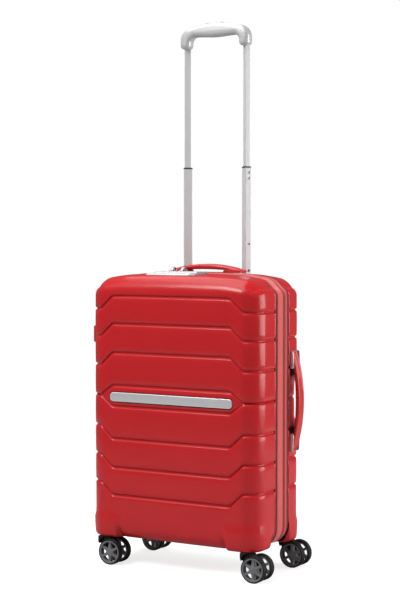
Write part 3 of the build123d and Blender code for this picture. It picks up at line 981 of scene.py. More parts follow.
@dataclass
class HalfShell:
    """One moulded half of the case with kinked grooves and pods over its casters."""

    form: CaseForm
    palette: Palette
    name: str
    side: int
    rim_y: float
    body: str
    nodes: tuple[str, ...]
    wall: float = 0.0019
    face_bulge: float = 0.0012
    pod_radius: float = 0.012
    belly_radius: float = 0.024
    pod_from: float = 0.120
    pod_depth: float = 0.054
    pod_fade: float = 0.012
    pod_top: float = 0.099
    pod_reach: float = 0.0024
    pod_hollow: float = 0.0060
    lip: float = 0.0006
    hand_z: float = 0.0
    hand_depth: float = 0.0
    hand_half: float = 0.045
    columns: tuple[float, ...] = (
        0.0, 0.02, 0.04, 0.06, 0.08, 0.096, 0.1, 0.104, 0.108, 0.112, 0.1155, 0.119, 0.1228, 0.1255, 0.1282, 0.132,
        0.139, 0.1465, 0.1493, 0.152, 0.1547)
    skip: tuple[float, float] = (0.1415, 0.146)

    def face_y(self) -> float:
        """Where this half's flat face is."""
        return self.form.front if self.side < 0 else self.form.back

    def levels(self) -> list[GrooveRow]:
        """Every row of the shell, from its bottom edge to its top edge.

        Returns:
            The rows in order.
        """
        form = self.form
        grooves = form.groove_rows()
        core_low, core_high = form.low + form.radius, form.high - form.radius
        rows = [GrooveRow(core_low - t, core_low - t) for t in reversed(form.rounding())]
        low_steps = 7
        first = grooves[0]
        for k in range(1, low_steps):
            t = k / low_steps
            rows.append(GrooveRow(core_low * (1 - t) + first.side_z * t, core_low * (1 - t) + first.middle_z * t))
        rows += grooves
        last = grooves[-1]
        for k in range(1, 4):
            t = k / 4
            rows.append(GrooveRow(last.side_z * (1 - t) + core_high * t, last.middle_z * (1 - t) + core_high * t))
        rows += [GrooveRow(core_high + t, core_high + t) for t in form.rounding()]
        return rows

    def pod(self, place: Vector, out: Vector) -> Vector:
        """How far the skin moves to make a squarer corner over a caster housing.

        Args:
            place: A point on the rounded skin.
            out: Its outward direction.

        Returns:
            The move, zero away from the housings.
        """
        if out.z > 0 or place.z > self.pod_top:
            return Vector((0, 0, 0))
        inward, back = self.pod_from - abs(place.x), abs(place.y - self.face_y()) - self.pod_depth
        weight = (1 - ease(inward / self.pod_fade)) * (1 - ease(back / self.pod_fade))
        low = ease((self.pod_top - place.z) / 0.012)
        radius = self.belly_radius + (self.pod_radius - self.belly_radius) * weight
        pull = (self.form.radius - radius) * ease((0.090 - place.z) / 0.02) * (1 - ease((back - 0.004) / 0.008))
        level = Vector((out.x, out.y, 0))
        square = level.normalized() * min(1.0, level.length * 8) - Vector((0, 0, min(1.0, -out.z * 8)))
        move = (square - out) * pull if out.z < -1e-4 else Vector((0, 0, 0))
        edges = (math.exp(-((inward - self.pod_fade * 0.62) / 0.0045) ** 2) * abs(out.y)
                 + math.exp(-((back - self.pod_fade * 0.40) / 0.0035) ** 2) * abs(out.x))
        hollow = -out * self.pod_hollow * edges * ease((0.083 - place.z) / 0.010)
        return move + out * self.pod_reach * weight * low * min(1.0, abs(out.y) + abs(out.x)) + hollow

    def shape(self, shell: Piece, rows: Sequence[GrooveRow]) -> None:
        """Move every vertex of the square tray to its place on the moulded form.

        Args:
            shell: The square tray, already cut at every row.
            rows: The shell's rows.
        """
        form = self.form
        table = {round(row.middle_z * 1e6): row for row in rows}
        for vertex in shell.data.vertices:
            place = vertex.co.copy()
            row = table.get(round(place.z * 1e6), GrooveRow(place.z, place.z))
            k = soft_limit((form.kink_out - abs(place.x)) / (form.kink_out - form.kink_in), 0.1)
            depth = row.side_depth * (1 - k) + row.middle_depth * k
            place.z = row.side_z * (1 - k) + row.middle_z * k
            point, out = form.wrap(place, self.side)
            bulge = self.face_bulge * abs(out.y) * (1 - (place.x / form.half_width) ** 2)
            hand = (self.hand_depth * ease((self.hand_half - abs(place.z - self.hand_z)) / 0.014)
                    * ease(out.x / 0.5) * ease((abs(point.y) - 0.038) / 0.010))
            lip = self.lip * math.exp(-((abs(point.y - self.rim_y) - 0.0013) / 0.0010) ** 2)
            vertex.co = point + out * (bulge + lip - depth - hand) + self.pod(point, out)

    def build(self) -> Piece:
        """Model the shell with its wall.

        Returns:
            The moulding with its wall, not yet dressed.
        """
        form = self.form
        low_y, high_y = sorted((self.face_y(), self.rim_y))
        shell = Bench.block(self.name, (-form.half_width, low_y, form.low), (form.half_width, high_y, form.high))
        Bench.drop_faces(shell, lambda f: abs(f.center.y - self.rim_y) < 1e-6)
        rows = self.levels()
        core_x = form.half_width - form.radius
        beyond = [core_x + t for t in form.rounding()]
        near, far = self.skip
        columns = sorted({x for x in (*self.columns, *beyond) if not near < x < far} | {core_x + 2e-6})
        core_y = self.face_y() - self.side * form.radius
        depths = [core_y + self.side * t for t in form.rounding()]
        span = self.rim_y - core_y
        depths += [core_y + span * t for t in (0.25, 0.5, 0.75)]
        depths += [self.rim_y - math.copysign(d, span) for d in (0.0042, 0.0032, 0.0024, 0.0016, 0.0008)]
        Bench.cut_at(shell, Axis.Z, [row.middle_z for row in rows])
        Bench.cut_at(shell, Axis.X, [s * x for x in columns for s in ((1, -1) if x else (1,))])
        Bench.cut_at(shell, Axis.Y, depths)
        self.shape(shell, rows)
        Bench.apply(shell, "SOLIDIFY", thickness=self.wall, offset=-1.0)
        return shell

    def finish(self, shell: Piece) -> Piece:
        """Smooth and dress the shell."""
        Bench.smooth(shell, 28.0)
        return dress(shell, self.palette.shell, self.body, *self.nodes, slot="red_shell")


# ---------------------------------------------------------------- zips, band and hinge
@dataclass(frozen=True)
class Course:
    """One band that runs round the case: its y and height profile, finish and body."""

    name: str
    profile: tuple[tuple[float, float], ...]
    finish: str
    body: str
    nodes: tuple[str, ...] = ()
    slot: str | None = None


@dataclass
class ZipBand:
    """Everything textile between the two shells."""

    form: CaseForm
    palette: Palette
    depth: float = -0.003
    tooth_pitch: float = 0.0013
    tooth_rise: float = 0.0005
    stitch_pitch: float = 0.0042
    stitch_width: float = 0.0006
    stitch_rise: float = 0.0004
    main_zip_y: float = -0.01505
    rear_zip_y: float = 0.0281

    def courses(self) -> list[Course]:
        """The plain bands from front to back.

        Returns:
            The courses.
        """
        deep = self.depth
        cloth = tuple((-0.0126 + 0.0208 * k / 10, 0.0002 + 0.0009 * math.sin(math.pi * k / 10) ** 0.5)
                      for k in range(11))
        return [
            Course("front_zip_tape_cloth", ((-0.0189, deep), (-0.0189, -0.0007), (-0.0178, -0.0004),
                                            (-0.0166, -0.0008), (-0.0157, -0.0013), (-0.0157, deep)),
                   "tape_dark", "front_half", ("front_zip_tape",), "red_textile"),
            Course("band_zip_tape", ((-0.0144, deep), (-0.0144, -0.0013), (-0.0134, -0.0007), (-0.0128, -0.0006),
                                     (-0.0128, deep)), "tape_dark", "zip_band", (), "red_textile"),
            Course("band_cloth", ((-0.0128, deep), (-0.0127, -0.0006), *cloth, (0.0083, -0.0006), (0.0084, deep)),
                   "tape", "zip_band", ("middle_band",), "red_textile"),
            Course("band_fold", ((0.0084, deep), (0.0084, -0.0012), (0.0110, -0.0006), (0.0132, -0.0009),
                                 (0.0137, -0.0021), (0.0149, -0.0021), (0.0154, -0.0009), (0.0170, -0.0006),
                                 (0.0170, deep)), "fold", "zip_band", (), "red_textile"),
            Course("band_piping", ((0.0170, deep), (0.0171, -0.0004), (0.0180, 0.0007), (0.0197, 0.0012),
                                   (0.0214, 0.0007), (0.0223, -0.0004), (0.0224, deep)),
                   "tape_light", "zip_band", (), "red_textile"),
            Course("band_rear_tape", ((0.0224, deep), (0.0224, -0.0011), (0.0250, -0.0006), (0.0272, -0.0010),
                                      (0.0275, -0.0015), (0.0275, deep)), "fold", "zip_band", (), "red_textile"),
            Course("back_zip_tape_cloth", ((0.0287, deep), (0.0287, -0.0015), (0.0296, -0.0009), (0.0312, -0.0007),
                                           (0.0319, -0.0008), (0.0319, deep)),
                   "tape_dark", "back_half", ("back_zip_tape",), "red_textile"),
        ]

    def round_case(self, name: str, profile: Sequence[tuple[float, float]]) -> Piece:
        """Carry a (y, height) profile once round the case."""
        sections = [[Vector((p.x, y, p.z)) + out * h for y, h in profile] for p, out in self.form.rim(0.0)]
        return Bench.lofted(name, sections, loop=True)

    def coil(self, name: str, y: float, half: float, body: str) -> Piece:
        """A zip's closed coil, with a small rise for every tooth.

        Args:
            name: The piece's name.
            y: Where the coil runs.
            half: Half its width.
            body: The body that it rides on.

        Returns:
            The coil.
        """
        rim = self.form.rim(0.0)
        sections: list[list[Vector]] = []
        for (a, out_a), (b, out_b) in zip(rim, rim[1:] + rim[:1]):
            steps = max(1, round((b - a).length / self.tooth_pitch)) * 2
            for k in range(steps):
                place, out = a.lerp(b, k / steps), out_a.lerp(out_b, k / steps).normalized()
                top = -0.0015 + (self.tooth_rise if k % 2 else 0.0)
                sections.append([Vector((place.x, y + dy, place.z)) + out * h
                                 for dy, h in ((-half, -0.0028), (-half, top), (half, top), (half, -0.0028))])
        piece = Bench.lofted(name, sections, loop=True)
        return dress(piece, self.palette.coil, body, slot="red_textile")

    def stitches(self, name: str, y: float, height: float) -> Piece:
        """A row of short raised stitches round the case.

        Args:
            name: The piece's name.
            y: Where the row runs.
            height: How far above the form it lies.

        Returns:
            The row.
        """
        rim, corners, faces = self.form.rim(0.0), [], []
        sides = ((0, 1, 3, 2), (4, 6, 7, 5), (0, 4, 5, 1), (2, 3, 7, 6), (0, 2, 6, 4), (1, 5, 7, 3))
        across = Vector((0, self.stitch_width, 0))
        for (a, out), (b, _) in zip(rim, rim[1:] + rim[:1]):
            run = b - a
            count = max(1, round(run.length / self.stitch_pitch))
            for k in range(count):
                start, along = a + run * ((k + 0.18) / count) + out * height, run / count * 0.64
                faces += [tuple(len(corners) + c for c in side) for side in sides]
                for u in (0, 1):
                    for v in (-0.5, 0.5):
                        for w in (0, self.stitch_rise):
                            corner = start + along * u + across * v + out * w
                            corners.append(Vector((corner.x, corner.y + y, corner.z)))
        row = Bench.block(name, (0, 0, 0), (1, 1, 1))
        row.data = bpy.data.meshes.new(name)
        row.data.from_pydata(corners, [], faces)
        with Bench.editing(row, Element.FACE, lambda f: True):
            bpy.ops.mesh.normals_make_consistent(inside=False)
        return dress(row, self.palette.tape_light, "zip_band", slot="red_textile")

    def gusset(self) -> Piece:
        """The folded cloth that opens out when the case is expanded.

        Returns:
            The cloth.
        """
        folds = 12
        low, high = 0.0024, 0.0312
        rows = [(low + (high - low) * k / (folds * 2), -0.0042 - (0.0009 if k % 2 else 0.0))
                for k in range(folds * 2 + 1)]
        sections = [[Vector((p.x, y, p.z)) + out * h for y, h in rows] for p, out in self.form.rim(0.0)]
        piece = Bench.lofted("gusset_cloth", sections, ring=False, loop=True)
        with Bench.editing(piece, Element.FACE, lambda f: True):
            bpy.ops.mesh.normals_make_consistent(inside=False)
        Bench.smooth(piece, 60.0)
        piece.data.materials.append(self.palette.gusset)
        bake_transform(piece)
        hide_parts("expansion_gusset")
        return piece

    def hinge(self) -> Piece:
        """The cloth strip that joins the two halves down the left side.

        Returns:
            The strip.
        """
        low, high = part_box("hinge_strip")
        size, rows = high - low, []
        for k in range(41):
            rows.append([Vector((high[0] - 0.0004 - 0.0008 * math.sin(math.pi * j / 16), low[1] + size[1] * j / 16,
                                 low[2] + size[2] * k / 40)) for j in range(17)])
        piece = Bench.lofted("hinge_cloth", rows, ring=False)
        Bench.apply(piece, "SOLIDIFY", thickness=0.0007, offset=0.0)
        Bench.smooth(piece, 50.0)
        piece.data.materials.append(self.palette.tape_dark)
        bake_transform(piece)
        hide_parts("hinge_strip")
        return piece

    def build(self) -> None:
        """Make all bands."""
        for course in self.courses():
            piece = Bench.smooth(self.round_case(course.name, course.profile), 35.0)
            dress(piece, getattr(self.palette, course.finish), course.body, *course.nodes, slot=course.slot)
        self.coil("main_zip_coil", self.main_zip_y, 0.0006, "zip_band")
        self.coil("rear_zip_coil", self.rear_zip_y, 0.0006, "zip_band")
        self.stitches("band_stitches_front", -0.0118, 0.0006)
        self.stitches("band_stitches_rear", 0.0074, 0.0006)
        self.gusset()
        self.hinge()


# ---------------------------------------------------------------- inside of the case
@dataclass
class Interior:
    """Linings, net pocket and packing straps."""

    form: CaseForm
    palette: Palette
    caster_x: float = 0.153
    caster_r: float = 0.0262
    caster_top: float = 0.0872

    def lining(self, name: str, side: int, rim_y: float, floor_y: float, body: str, node: str) -> Piece:
        """One lining, draped over the wheel sockets, slightly rumpled.

        Args:
            name: The piece's name.
            side: -1 for the front half, +1 for the back half.
            rim_y: Where the lining's open edge is.
            floor_y: Where its floor is.
            body: The body that it rides on.
            node: The CAD node that it replaces.

        Returns:
            The lining.
        """
        form, inset = self.form, 0.0056
        low_y, high_y = sorted((floor_y, rim_y))
        tray = Bench.block(name, (-form.half_width, low_y, form.low), (form.half_width, high_y, form.high))
        Bench.drop_faces(tray, lambda f: abs(f.center.y - rim_y) < 1e-6)
        edge = [form.radius * math.tan(math.radians(a)) for a in (0.001, 11, 22, 33.5, 44)]
        xs = [form.half_width - form.radius + t for t in edge]
        xs += [0.012 * k for k in range(1, 12)] + [0.1275, 0.1325, 0.1375]
        zs = [form.high - form.radius + t for t in edge] + [form.low + form.radius - t for t in edge]
        zs += [form.low + form.radius + 0.012 * k for k in range(1, 35)]
        ys = [low_y + (high_y - low_y) * k / 9 for k in range(1, 9)]
        Bench.cut_at(tray, Axis.X, [0.0, *[s * x for x in xs for s in (1, -1)]])
        Bench.cut_at(tray, Axis.Z, zs)
        Bench.cut_at(tray, Axis.Y, ys)
        deep = replace(form, front=floor_y, back=floor_y) if abs(floor_y) < 0.08 else form
        for vertex in tray.data.vertices:
            place, out = deep.wrap(vertex.co.copy(), side, inset)
            place -= out * (0.0006 * (1 + noise.noise(place * 26.0)))
            for x in (-self.caster_x, self.caster_x):
                for y in (-0.075, 0.075):
                    near = math.hypot(place.x - x, place.y - y)
                    lift = self.caster_top - 0.0006 + 0.0006 * noise.noise(place * 40)
                    if near < self.caster_r + 0.004 and place.z < lift:
                        place.z += (lift - place.z) * ease((self.caster_r + 0.004 - near) / 0.004)
            vertex.co = place
        Bench.apply(tray, "SOLIDIFY", thickness=0.0008, offset=-1.0)
        Bench.smooth(tray, 40.0)
        area = 0.36 * 0.49 + 1.6 * (high_y - low_y) * 0.85
        dress(tray, self.palette.lining, body, node, slot="lining")
        area * 1.05 / 0.55
        "front_shell" if side < 0 else "back_shell"
        return tray

    def pocket(self) -> None:
        """A net panel with a bound edge and a gathered elastic top."""
        low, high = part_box("front_pocket")
        mid_y = (low[1] + high[1]) / 2
        rows = []
        for k in range(31):
            t = k / 30
            z = low[2] + 0.004 + (high[2] - low[2] - 0.02) * t
            rows.append([Vector((low[0] + 0.003 + (high[0] - low[0] - 0.006) * j / 60,
                                 mid_y - 0.0022 * math.sin(math.pi * j / 60) * math.sin(math.pi * t) ** 0.7
                                 + 0.0006 * math.sin(j * 2.4) * t * t, z)) for j in range(61)])
        net = Bench.smooth(Bench.lofted("pocket_net", rows, ring=False), 60.0)
        dress(net, self.palette.netting, "front_half", "front_pocket", slot="mesh")
        band = Bench.block("pocket_elastic", (low[0], low[1], high[2] - 0.018), (high[0], high[1], high[2]))
        Bench.cut_at(band, Axis.X, [low[0] + (high[0] - low[0]) * k / 120 for k in range(1, 120)])
        for vertex in band.data.vertices:
            vertex.co.y += 0.0005 * math.sin(vertex.co.x * 620)
        dress(Bench.smooth(band, 50.0), self.palette.webbing, "front_half", slot="strap")
        for x, name in ((low[0], "left"), (high[0] - 0.008, "right")):
            edge = Bench.rounded(Bench.block(f"pocket_binding_{name}", (x, low[1] + 0.0001, low[2]),
                                             (x + 0.008, high[1] - 0.0001, high[2] - 0.018)), 0.0005, 2)
            dress(edge, self.palette.webbing, "front_half", slot="strap")
        foot = Bench.rounded(Bench.block("pocket_binding_low", (low[0], low[1], low[2]),
                                         (high[0], high[1], low[2] + 0.009)), 0.0005, 2)
        dress(foot, self.palette.webbing, "front_half", slot="strap")

    def straps(self) -> None:
        """Two straps that lie slightly slack between the walls and the buckle."""
        low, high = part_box("packing_straps")
        inner = 0.026
        for side, name in ((-1, "left"), (1, "right")):
            sections = []
            for k in range(37):
                x = side * (inner + (high[0] - inner) * k / 36)
                wave = 0.0009 * math.sin(k / 36 * 3 * math.pi) * math.sin(k / 36 * math.pi)
                y0, y1 = low[1] + wave, high[1] + wave
                sections.append([Vector((x, y, z)) for y, z in
                                 ((y0, low[2] + 0.0006), (y0, high[2] - 0.0006), ((y0 + y1) / 2, high[2]),
                                  (y1, high[2] - 0.0006), (y1, low[2] + 0.0006), ((y0 + y1) / 2, low[2]))])
            strap = Bench.smooth(Bench.lofted(f"strap_{name}", sections), 40.0)
            dress(strap, self.palette.webbing, "back_half", "packing_straps", slot="strap")

    def build(self) -> None:
        """Make the whole interior."""
        form = self.form
        self.lining("front_lining_cloth", -1, -0.0215, form.front, "front_half", "front_lining")
        self.lining("back_lining_cloth", 1, 0.0335, 0.0715, "back_half", "back_lining")
        self.pocket()
        self.straps()


# ---------------------------------------------------------------- front fittings
@dataclass
class TrimBar:
    """The brushed bar in its recess on the front."""

    palette: Palette
    gap: float = 0.0016

    def outline(self, low: Vector, high: Vector, y: float, grow: float) -> list[Point]:
        """A long outline with well rounded ends.

        Args:
            low: The bar's low corner.
            high: The bar's high corner.
            y: The plane of the outline.
            grow: How far it lies outside the bar.

        Returns:
            The outline's corners.
        """
        half_x, half_z = (high[0] - low[0]) / 2 + grow, (high[2] - low[2]) / 2 + grow
        z, r, points = (low[2] + high[2]) / 2, half_z * 0.86, []
        for sx, sz, start in ((1, 1, 0), (-1, 1, 90), (-1, -1, 180), (1, -1, 270)):
            for k in range(9):
                a = math.radians(start + 90 * k / 8)
                points.append((sx * (half_x - r) + r * math.cos(a), y, z + sz * (half_z - r) + r * math.sin(a)))
        return points

    def build(self) -> Piece:
        """Model the bar.

        Returns:
            The bar.
        """
        low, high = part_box("trim_bar")
        bar = Bench.prism("trim_bar_plate", self.outline(low, high, low[1], 0.0), (0, high[1] - low[1], 0))
        Bench.rounded(bar, 0.0011, 3, 50.0)
        dress(Bench.smooth(bar, 40.0), self.palette.trim, "front_half", "trim_bar", slot="trim_metal")
        return bar

    def cutter(self) -> Piece:
        """The recess that the bar lies in."""
        low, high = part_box("trim_bar")
        return Bench.prism("trim_recess", self.outline(low, high, low[1] - 0.004, self.gap),
                           (0, high[1] - low[1] + 0.0036, 0))


# ---------------------------------------------------------------- carry handles
@dataclass
class CarryHandle:
    """An arched grip over two brackets. Sizes along (u), across (v) and away (w) from its wall."""

    palette: Palette
    name: str
    node: str
    bracket_node: str
    turn: Matrix
    silver: bool
    half: float = 0.0915
    rise: float = 0.0180
    end_rise: float = 0.0058
    under: float = 0.0092
    end_under: float = 0.0024
    width: float = 0.0232
    corner: float = 0.0042
    channel: tuple[tuple[float, float], ...] = (
        (0.0600, 0.0002), (0.0930, 0.0002), (0.0930, 0.0046), (0.0905, 0.0062), (0.0640, 0.0076), (0.0600, 0.0062))
    pivot: tuple[tuple[float, float], ...] = (
        (0.0470, 0.0002), (0.0598, 0.0002), (0.0598, 0.0058), (0.0560, 0.0066), (0.0500, 0.0058), (0.0470, 0.0030))

    def profile(self, u: float) -> list[Vector]:
        """One section of the arch, with two shallow grooves along its top.

        Args:
            u: The place along the handle.

        Returns:
            The section's points.
        """
        t = (u / self.half) ** 2
        top = self.end_rise + (self.rise - self.end_rise) * (1 - t)
        low = self.under + (self.end_under - self.under) * t
        half = self.width / 2 * (1 - 0.1 * t)
        r = min(self.corner, (top - low) / 2 - 0.0001)
        points = []
        for sv, sw, start in ((1, 1, 0), (-1, 1, 90), (-1, -1, 180), (1, -1, 270)):
            w_core = (top - r) if sw > 0 else (low + r)
            for k in range(6):
                a = math.radians(start + 90 * k / 5)
                points.append((sv * (half - r) + r * math.cos(a), w_core + r * math.sin(a)))
            if (sv, sw) == (1, 1):
                for v, sink in ((0.0052, 0), (0.0044, 0.0007), (0.0036, 0), (0.0, -0.0001), (-0.0036, 0),
                                (-0.0044, 0.0007), (-0.0052, 0)):
                    points.append((v, top - sink * (1 - t * 0.6) - 0.0002))
            if (sv, sw) == (-1, 1):
                for part in (0.56, 0.5, 0.44):
                    sink = 0.0006 if part == 0.5 else 0.0
                    points.append((-half + sink, low + (top - low) * part))
        return [Vector((u, v, w)) for v, w in points]

    def arch(self) -> Piece:
        """The grip.

        Returns:
            The grip.
        """
        steps = 48
        sections = [self.profile(self.half * (2 * k / steps - 1)) for k in range(steps + 1)]
        grip = Bench.lofted(f"{self.name}_grip", sections)
        Bench.rounded(grip, 0.0009, 2, 55.0)
        tongues = [Bench.block("tongue", (s * 0.072 - 0.008, -0.0075, 0.0034), (s * 0.072 + 0.008, 0.0075, 0.0052))
                   for s in (-1, 1)]
        grip = Bench.joined(f"{self.name}_grip", [grip, *tongues])
        grip.data.transform(self.turn)
        return dress(Bench.smooth(grip, 35.0), self.palette.handle, self.name, self.node, slot="red_handle")

    def brackets(self) -> Piece:
        """Two low channels that the arch's ends lie in, closed at their outer ends.

        Returns:
            Both brackets as one piece.
        """
        parts = []
        for s in (-1, 1):
            shape = Bench.prism("bracket", [(s * u, -0.0131, w) for u, w in self.channel], (0, 0.0262, 0))
            Bench.rounded(shape, 0.0009, 3, 40.0)
            room = Bench.block("room", (min(s * 0.055, s * 0.0919), -0.0121, 0.0012),
                               (max(s * 0.055, s * 0.0919), 0.0121, 0.02))
            parts.append(Bench.cut_by(shape, room))
        both = Bench.joined(f"{self.name}_brackets_shaped", parts)
        both.data.transform(self.turn)
        finish = self.palette.bracket if self.silver else self.palette.handle
        return dress(Bench.smooth(both, 35.0), finish, "back_half", self.bracket_node,
                     slot="bracket_silver" if self.silver else "red_handle")

    def pivots(self) -> Piece:
        """The dark blocks in which the arch's arms swing, and on the red handle two dark strips under the grip,
        which are painted shade.

        Returns:
            The blocks as one piece.
        """
        parts = []
        for s in (-1, 1):
            shape = Bench.prism("pivot", [(s * u, -0.0122, w) for u, w in self.pivot], (0, 0.0244, 0))
            parts.append(Bench.rounded(shape, 0.0007, 2, 40.0))
            pin = Bench.rod("pin", 0.0016, 0.0262, (s * 0.0535, 0, 0.0036), Axis.Y, 24)
            parts.append(Bench.rounded(pin, 0.0003, 2, 60.0))
            if not self.silver:
                # Two thin dark strips on the wall under the grip's edges: painted shade under the handle, not a real
                # part.
                seat = Bench.block("seat", (-0.0600, s * 0.0128 - 0.0009, 0.0001),
                                   (0.0600, s * 0.0128 + 0.0009, 0.0011))
                parts.append(Bench.rounded(seat, 0.0003, 2))
        blocks = Bench.joined(f"{self.name}_pivots", parts)
        blocks.data.transform(self.turn)
        # The red handle's pivot blocks and its painted-shade strips share one darker red.
        finish = self.palette.black if self.silver else self.palette.dark_red_and_painted_shade
        return dress(Bench.smooth(blocks, 35.0), finish, "back_half", slot="black_plastic")

    def build(self) -> None:
        """Make one carry handle."""
        self.arch()
        self.brackets()
        self.pivots()


# ---------------------------------------------------------------- pull handle
@dataclass
class PullGrip:
    """The silver grip on top of the tubes."""

    palette: Palette
    leg: float = 0.0205
    bar_under: float = 0.0265
    belly: float = 0.0022
    crown: float = 0.0065
    outer_r: float = 0.024
    inner_r: float = 0.012
    edge: float = 0.0072
    waist: float = 0.0015

    def outline(self, low: Vector, high: Vector) -> list[Point]:
        """The grip seen from the front: crowned bar, rounded shoulders, two legs.

        Args:
            low: The grip's low corner.
            high: The grip's high corner.

        Returns:
            The outline's corners in order.
        """
        half, top, foot = (high[0] - low[0]) / 2 - self.waist, high[2], low[2]
        end_top, y = top - self.crown, low[1]
        under = top - self.bar_under
        points: list[tuple[float, float]] = [(half, foot)]
        for k in range(9):
            a = math.radians(90 * k / 8)
            points.append((half - self.outer_r + self.outer_r * math.cos(a),
                           end_top - self.outer_r + self.outer_r * math.sin(a)))
        span = half - self.outer_r
        points += [(span * (1 - k / 8), end_top + self.crown * (1 - (1 - k / 8) ** 2)) for k in range(1, 9)]
        inner = half - self.leg
        inside: list[tuple[float, float]] = [(inner, foot)]
        for k in range(9):
            a = math.radians(90 * k / 8)
            inside.append((inner - self.inner_r + self.inner_r * math.cos(a),
                           under + self.belly - self.inner_r + self.inner_r * math.sin(a)))
        reach = inner - self.inner_r
        inside += [(reach * (1 - k / 6), under + self.belly * (1 - ease(k / 6))) for k in range(1, 7)]
        left = [(-x, z) for x, z in reversed(points[:-1])]
        inside_left = [(-x, z) for x, z in reversed(inside[:-1])]
        loop = points + left + [(x, z) for x, z in reversed(inside + inside_left)]
        return [(x, y, z) for x, z in loop]

    def build(self) -> Piece:
        """Model the grip with its button well and the holes for the tubes.

        Returns:
            The grip.
        """
        low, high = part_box("pull_grip")
        grip = Bench.prism("pull_grip_moulding", self.outline(low, high), (0, high[1] - low[1], 0))
        Bench.rounded(grip, self.edge, 5, 60.0)
        button_low, button_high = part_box("release_button")
        gap = 0.0006
        well = Bench.block("well", (button_low[0] - gap, button_low[1] - gap, button_low[2] - 0.0075),
                           (button_high[0] + gap, button_high[1] + gap, high[2] + 0.01))
        Bench.rounded(well, 0.0054, 6, 60.0)
        Bench.cut_by(grip, well)
        for side in ("left", "right"):
            tube_low, tube_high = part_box(f"inner_tube_{side}")
            hole = Bench.block("hole", (tube_low[0] - 0.0002, tube_low[1] - 0.0002, low[2] - 0.01),
                               (tube_high[0] + 0.0002, tube_high[1] + 0.0002, low[2] + 0.003))
            Bench.cut_by(grip, hole)
        Bench.smooth(grip, 34.0)
        return dress(grip, self.palette.silver, "inner_stage", "pull_grip", slot="silver_plastic")


# ---------------------------------------------------------------- casters
@dataclass
class Casters:
    """Four double-wheel swivel casters."""

    palette: Palette
    wheel_r: float = 0.024
    hub_r: float = 0.0213
    half_width: float = 0.006
    spokes: int = 6

    def hub(self) -> Piece:
        """A dished disc with six windows, so that six spokes stand in a star.

        Returns:
            The hub, at the origin.
        """
        ring, dish = self.hub_r, self.half_width - 0.0014
        side = [(0.0, dish + 0.0010), (0.0045, dish + 0.0009), (0.0062, dish + 0.0002),
                (ring - 0.0034, dish - 0.0006), (ring - 0.0026, self.half_width - 0.0004),
                (ring - 0.0018, self.half_width), (ring, self.half_width)]
        profile = [(r, y, 0.0) for r, y in side] + [(r, -y, 0.0) for r, y in reversed(side)]
        hub = Bench.spun("hub", profile, (0, 0, 0), Axis.Y, 72)
        window = [(-0.0012, 0.0078), (0.0012, 0.0078), (0.0068, 0.0158), (0.0060, 0.0174), (0.0030, 0.01805),
                  (-0.0030, 0.01805), (-0.0060, 0.0174), (-0.0068, 0.0158)]
        for k in range(self.spokes):
            cut = Bench.prism("window", [(x, -0.01, z) for x, z in window], (0, 0.02, 0))
            Bench.rounded(cut, 0.0006, 2, 25.0)
            cut.data.transform(Matrix.Rotation(math.radians(60 * k + 30), 4, "Y"))
            Bench.cut_by(hub, cut)
        Bench.rounded(hub, 0.00025, 2, 60.0)
        return Bench.smooth(hub, 30.0)

    def tyre(self) -> Piece:
        """A soft tread with rounded shoulders and two fine grooves.

        Returns:
            The tyre, at the origin.
        """
        r, w = self.wheel_r, self.half_width
        outer = [(r - 0.0009, w), (r - 0.0003, w - 0.0006), (r, w - 0.0015), (r, 0.0022), (r - 0.0005, 0.0019),
                 (r - 0.0005, 0.0015), (r, 0.0012)]
        side = [(self.hub_r + 0.00002, w - 0.0002), (self.hub_r + 0.0006, w - 0.00002), *outer]
        profile = [(a, b, 0.0) for a, b in side] + [(a, -b, 0.0) for a, b in reversed(side)]
        return Bench.smooth(Bench.spun("tyre", profile, (0, 0, 0), Axis.Y, 72), 40.0)

    def fork(self, corner: str, x: float, y: float) -> Piece:
        """Stem, round cap, web between the wheels, nose and axle ends.

        Args:
            corner: Which corner of the case.
            x: The stem's place across the case.
            y: The stem's place from front to back.

        Returns:
            The fork.
        """
        web = [(-0.0078, 0.0520), (-0.0078, 0.0385), (-0.0055, 0.0335), (0.0135, 0.0175), (0.0285, 0.0180),
               (0.0287, 0.0300), (0.0225, 0.0425), (0.0120, 0.0520)]
        nose = [(-0.0080, 0.0518), (-0.0083, 0.0420), (-0.0068, 0.0372), (-0.0052, 0.0372), (-0.0048, 0.0410),
                (-0.0010, 0.0482), (0.0040, 0.0496), (0.0040, 0.0518)]
        parts = [
            Bench.rounded(Bench.prism("web", [(x + u, y - 0.0068, z) for u, z in web], (0, 0.0136, 0)), 0.0012, 3),
            Bench.rounded(Bench.prism("nose", [(x + u, y - 0.0138, z) for u, z in nose], (0, 0.0276, 0)), 0.0014, 3),
            Bench.rounded(Bench.rod("cap", 0.0104, 0.0042, (x, y, 0.0513), Axis.Z, 64), 0.0008, 3),
            Bench.rod("stem", 0.0059, 0.030, (x, y, 0.066), Axis.Z, 48),
            Bench.rounded(Bench.rod("axle", 0.0030, 0.0340, (x + 0.021, y, self.wheel_r), Axis.Y, 40), 0.0005, 2),
        ]
        fork = Bench.joined(f"fork_{corner}", parts)
        return dress(Bench.smooth(fork, 35.0), self.palette.black, f"caster_{corner}", f"caster_fork_{corner}",
                     slot="fork")

    def build(self) -> None:
        """Make the wheels once and copy them to every place."""
        hub, tyre = self.hub(), self.tyre()
        for corner in ("front_left", "front_right", "rear_left", "rear_right"):
            low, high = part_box(f"wheel_{corner}_a")
            low_b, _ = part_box(f"wheel_{corner}_b")
            middle = (low[0] + high[0]) / 2
            self.fork(corner, middle - 0.021, (low[1] + high[1]) / 2 + 0.014)
            for letter, first in (("a", low[1]), ("b", low_b[1])):
                body = f"wheel_{corner}_{letter}"
                move = Matrix.Translation((middle, first + self.half_width, self.wheel_r))
                dress(Bench.copied(hub, f"hub_{corner}_{letter}", move), self.palette.hub, body, body, slot="wheel")
                dress(Bench.copied(tyre, f"tyre_{corner}_{letter}", move), self.palette.tyre, body, slot="wheel")
        for first in (hub, tyre):
            bpy.data.objects.remove(first)


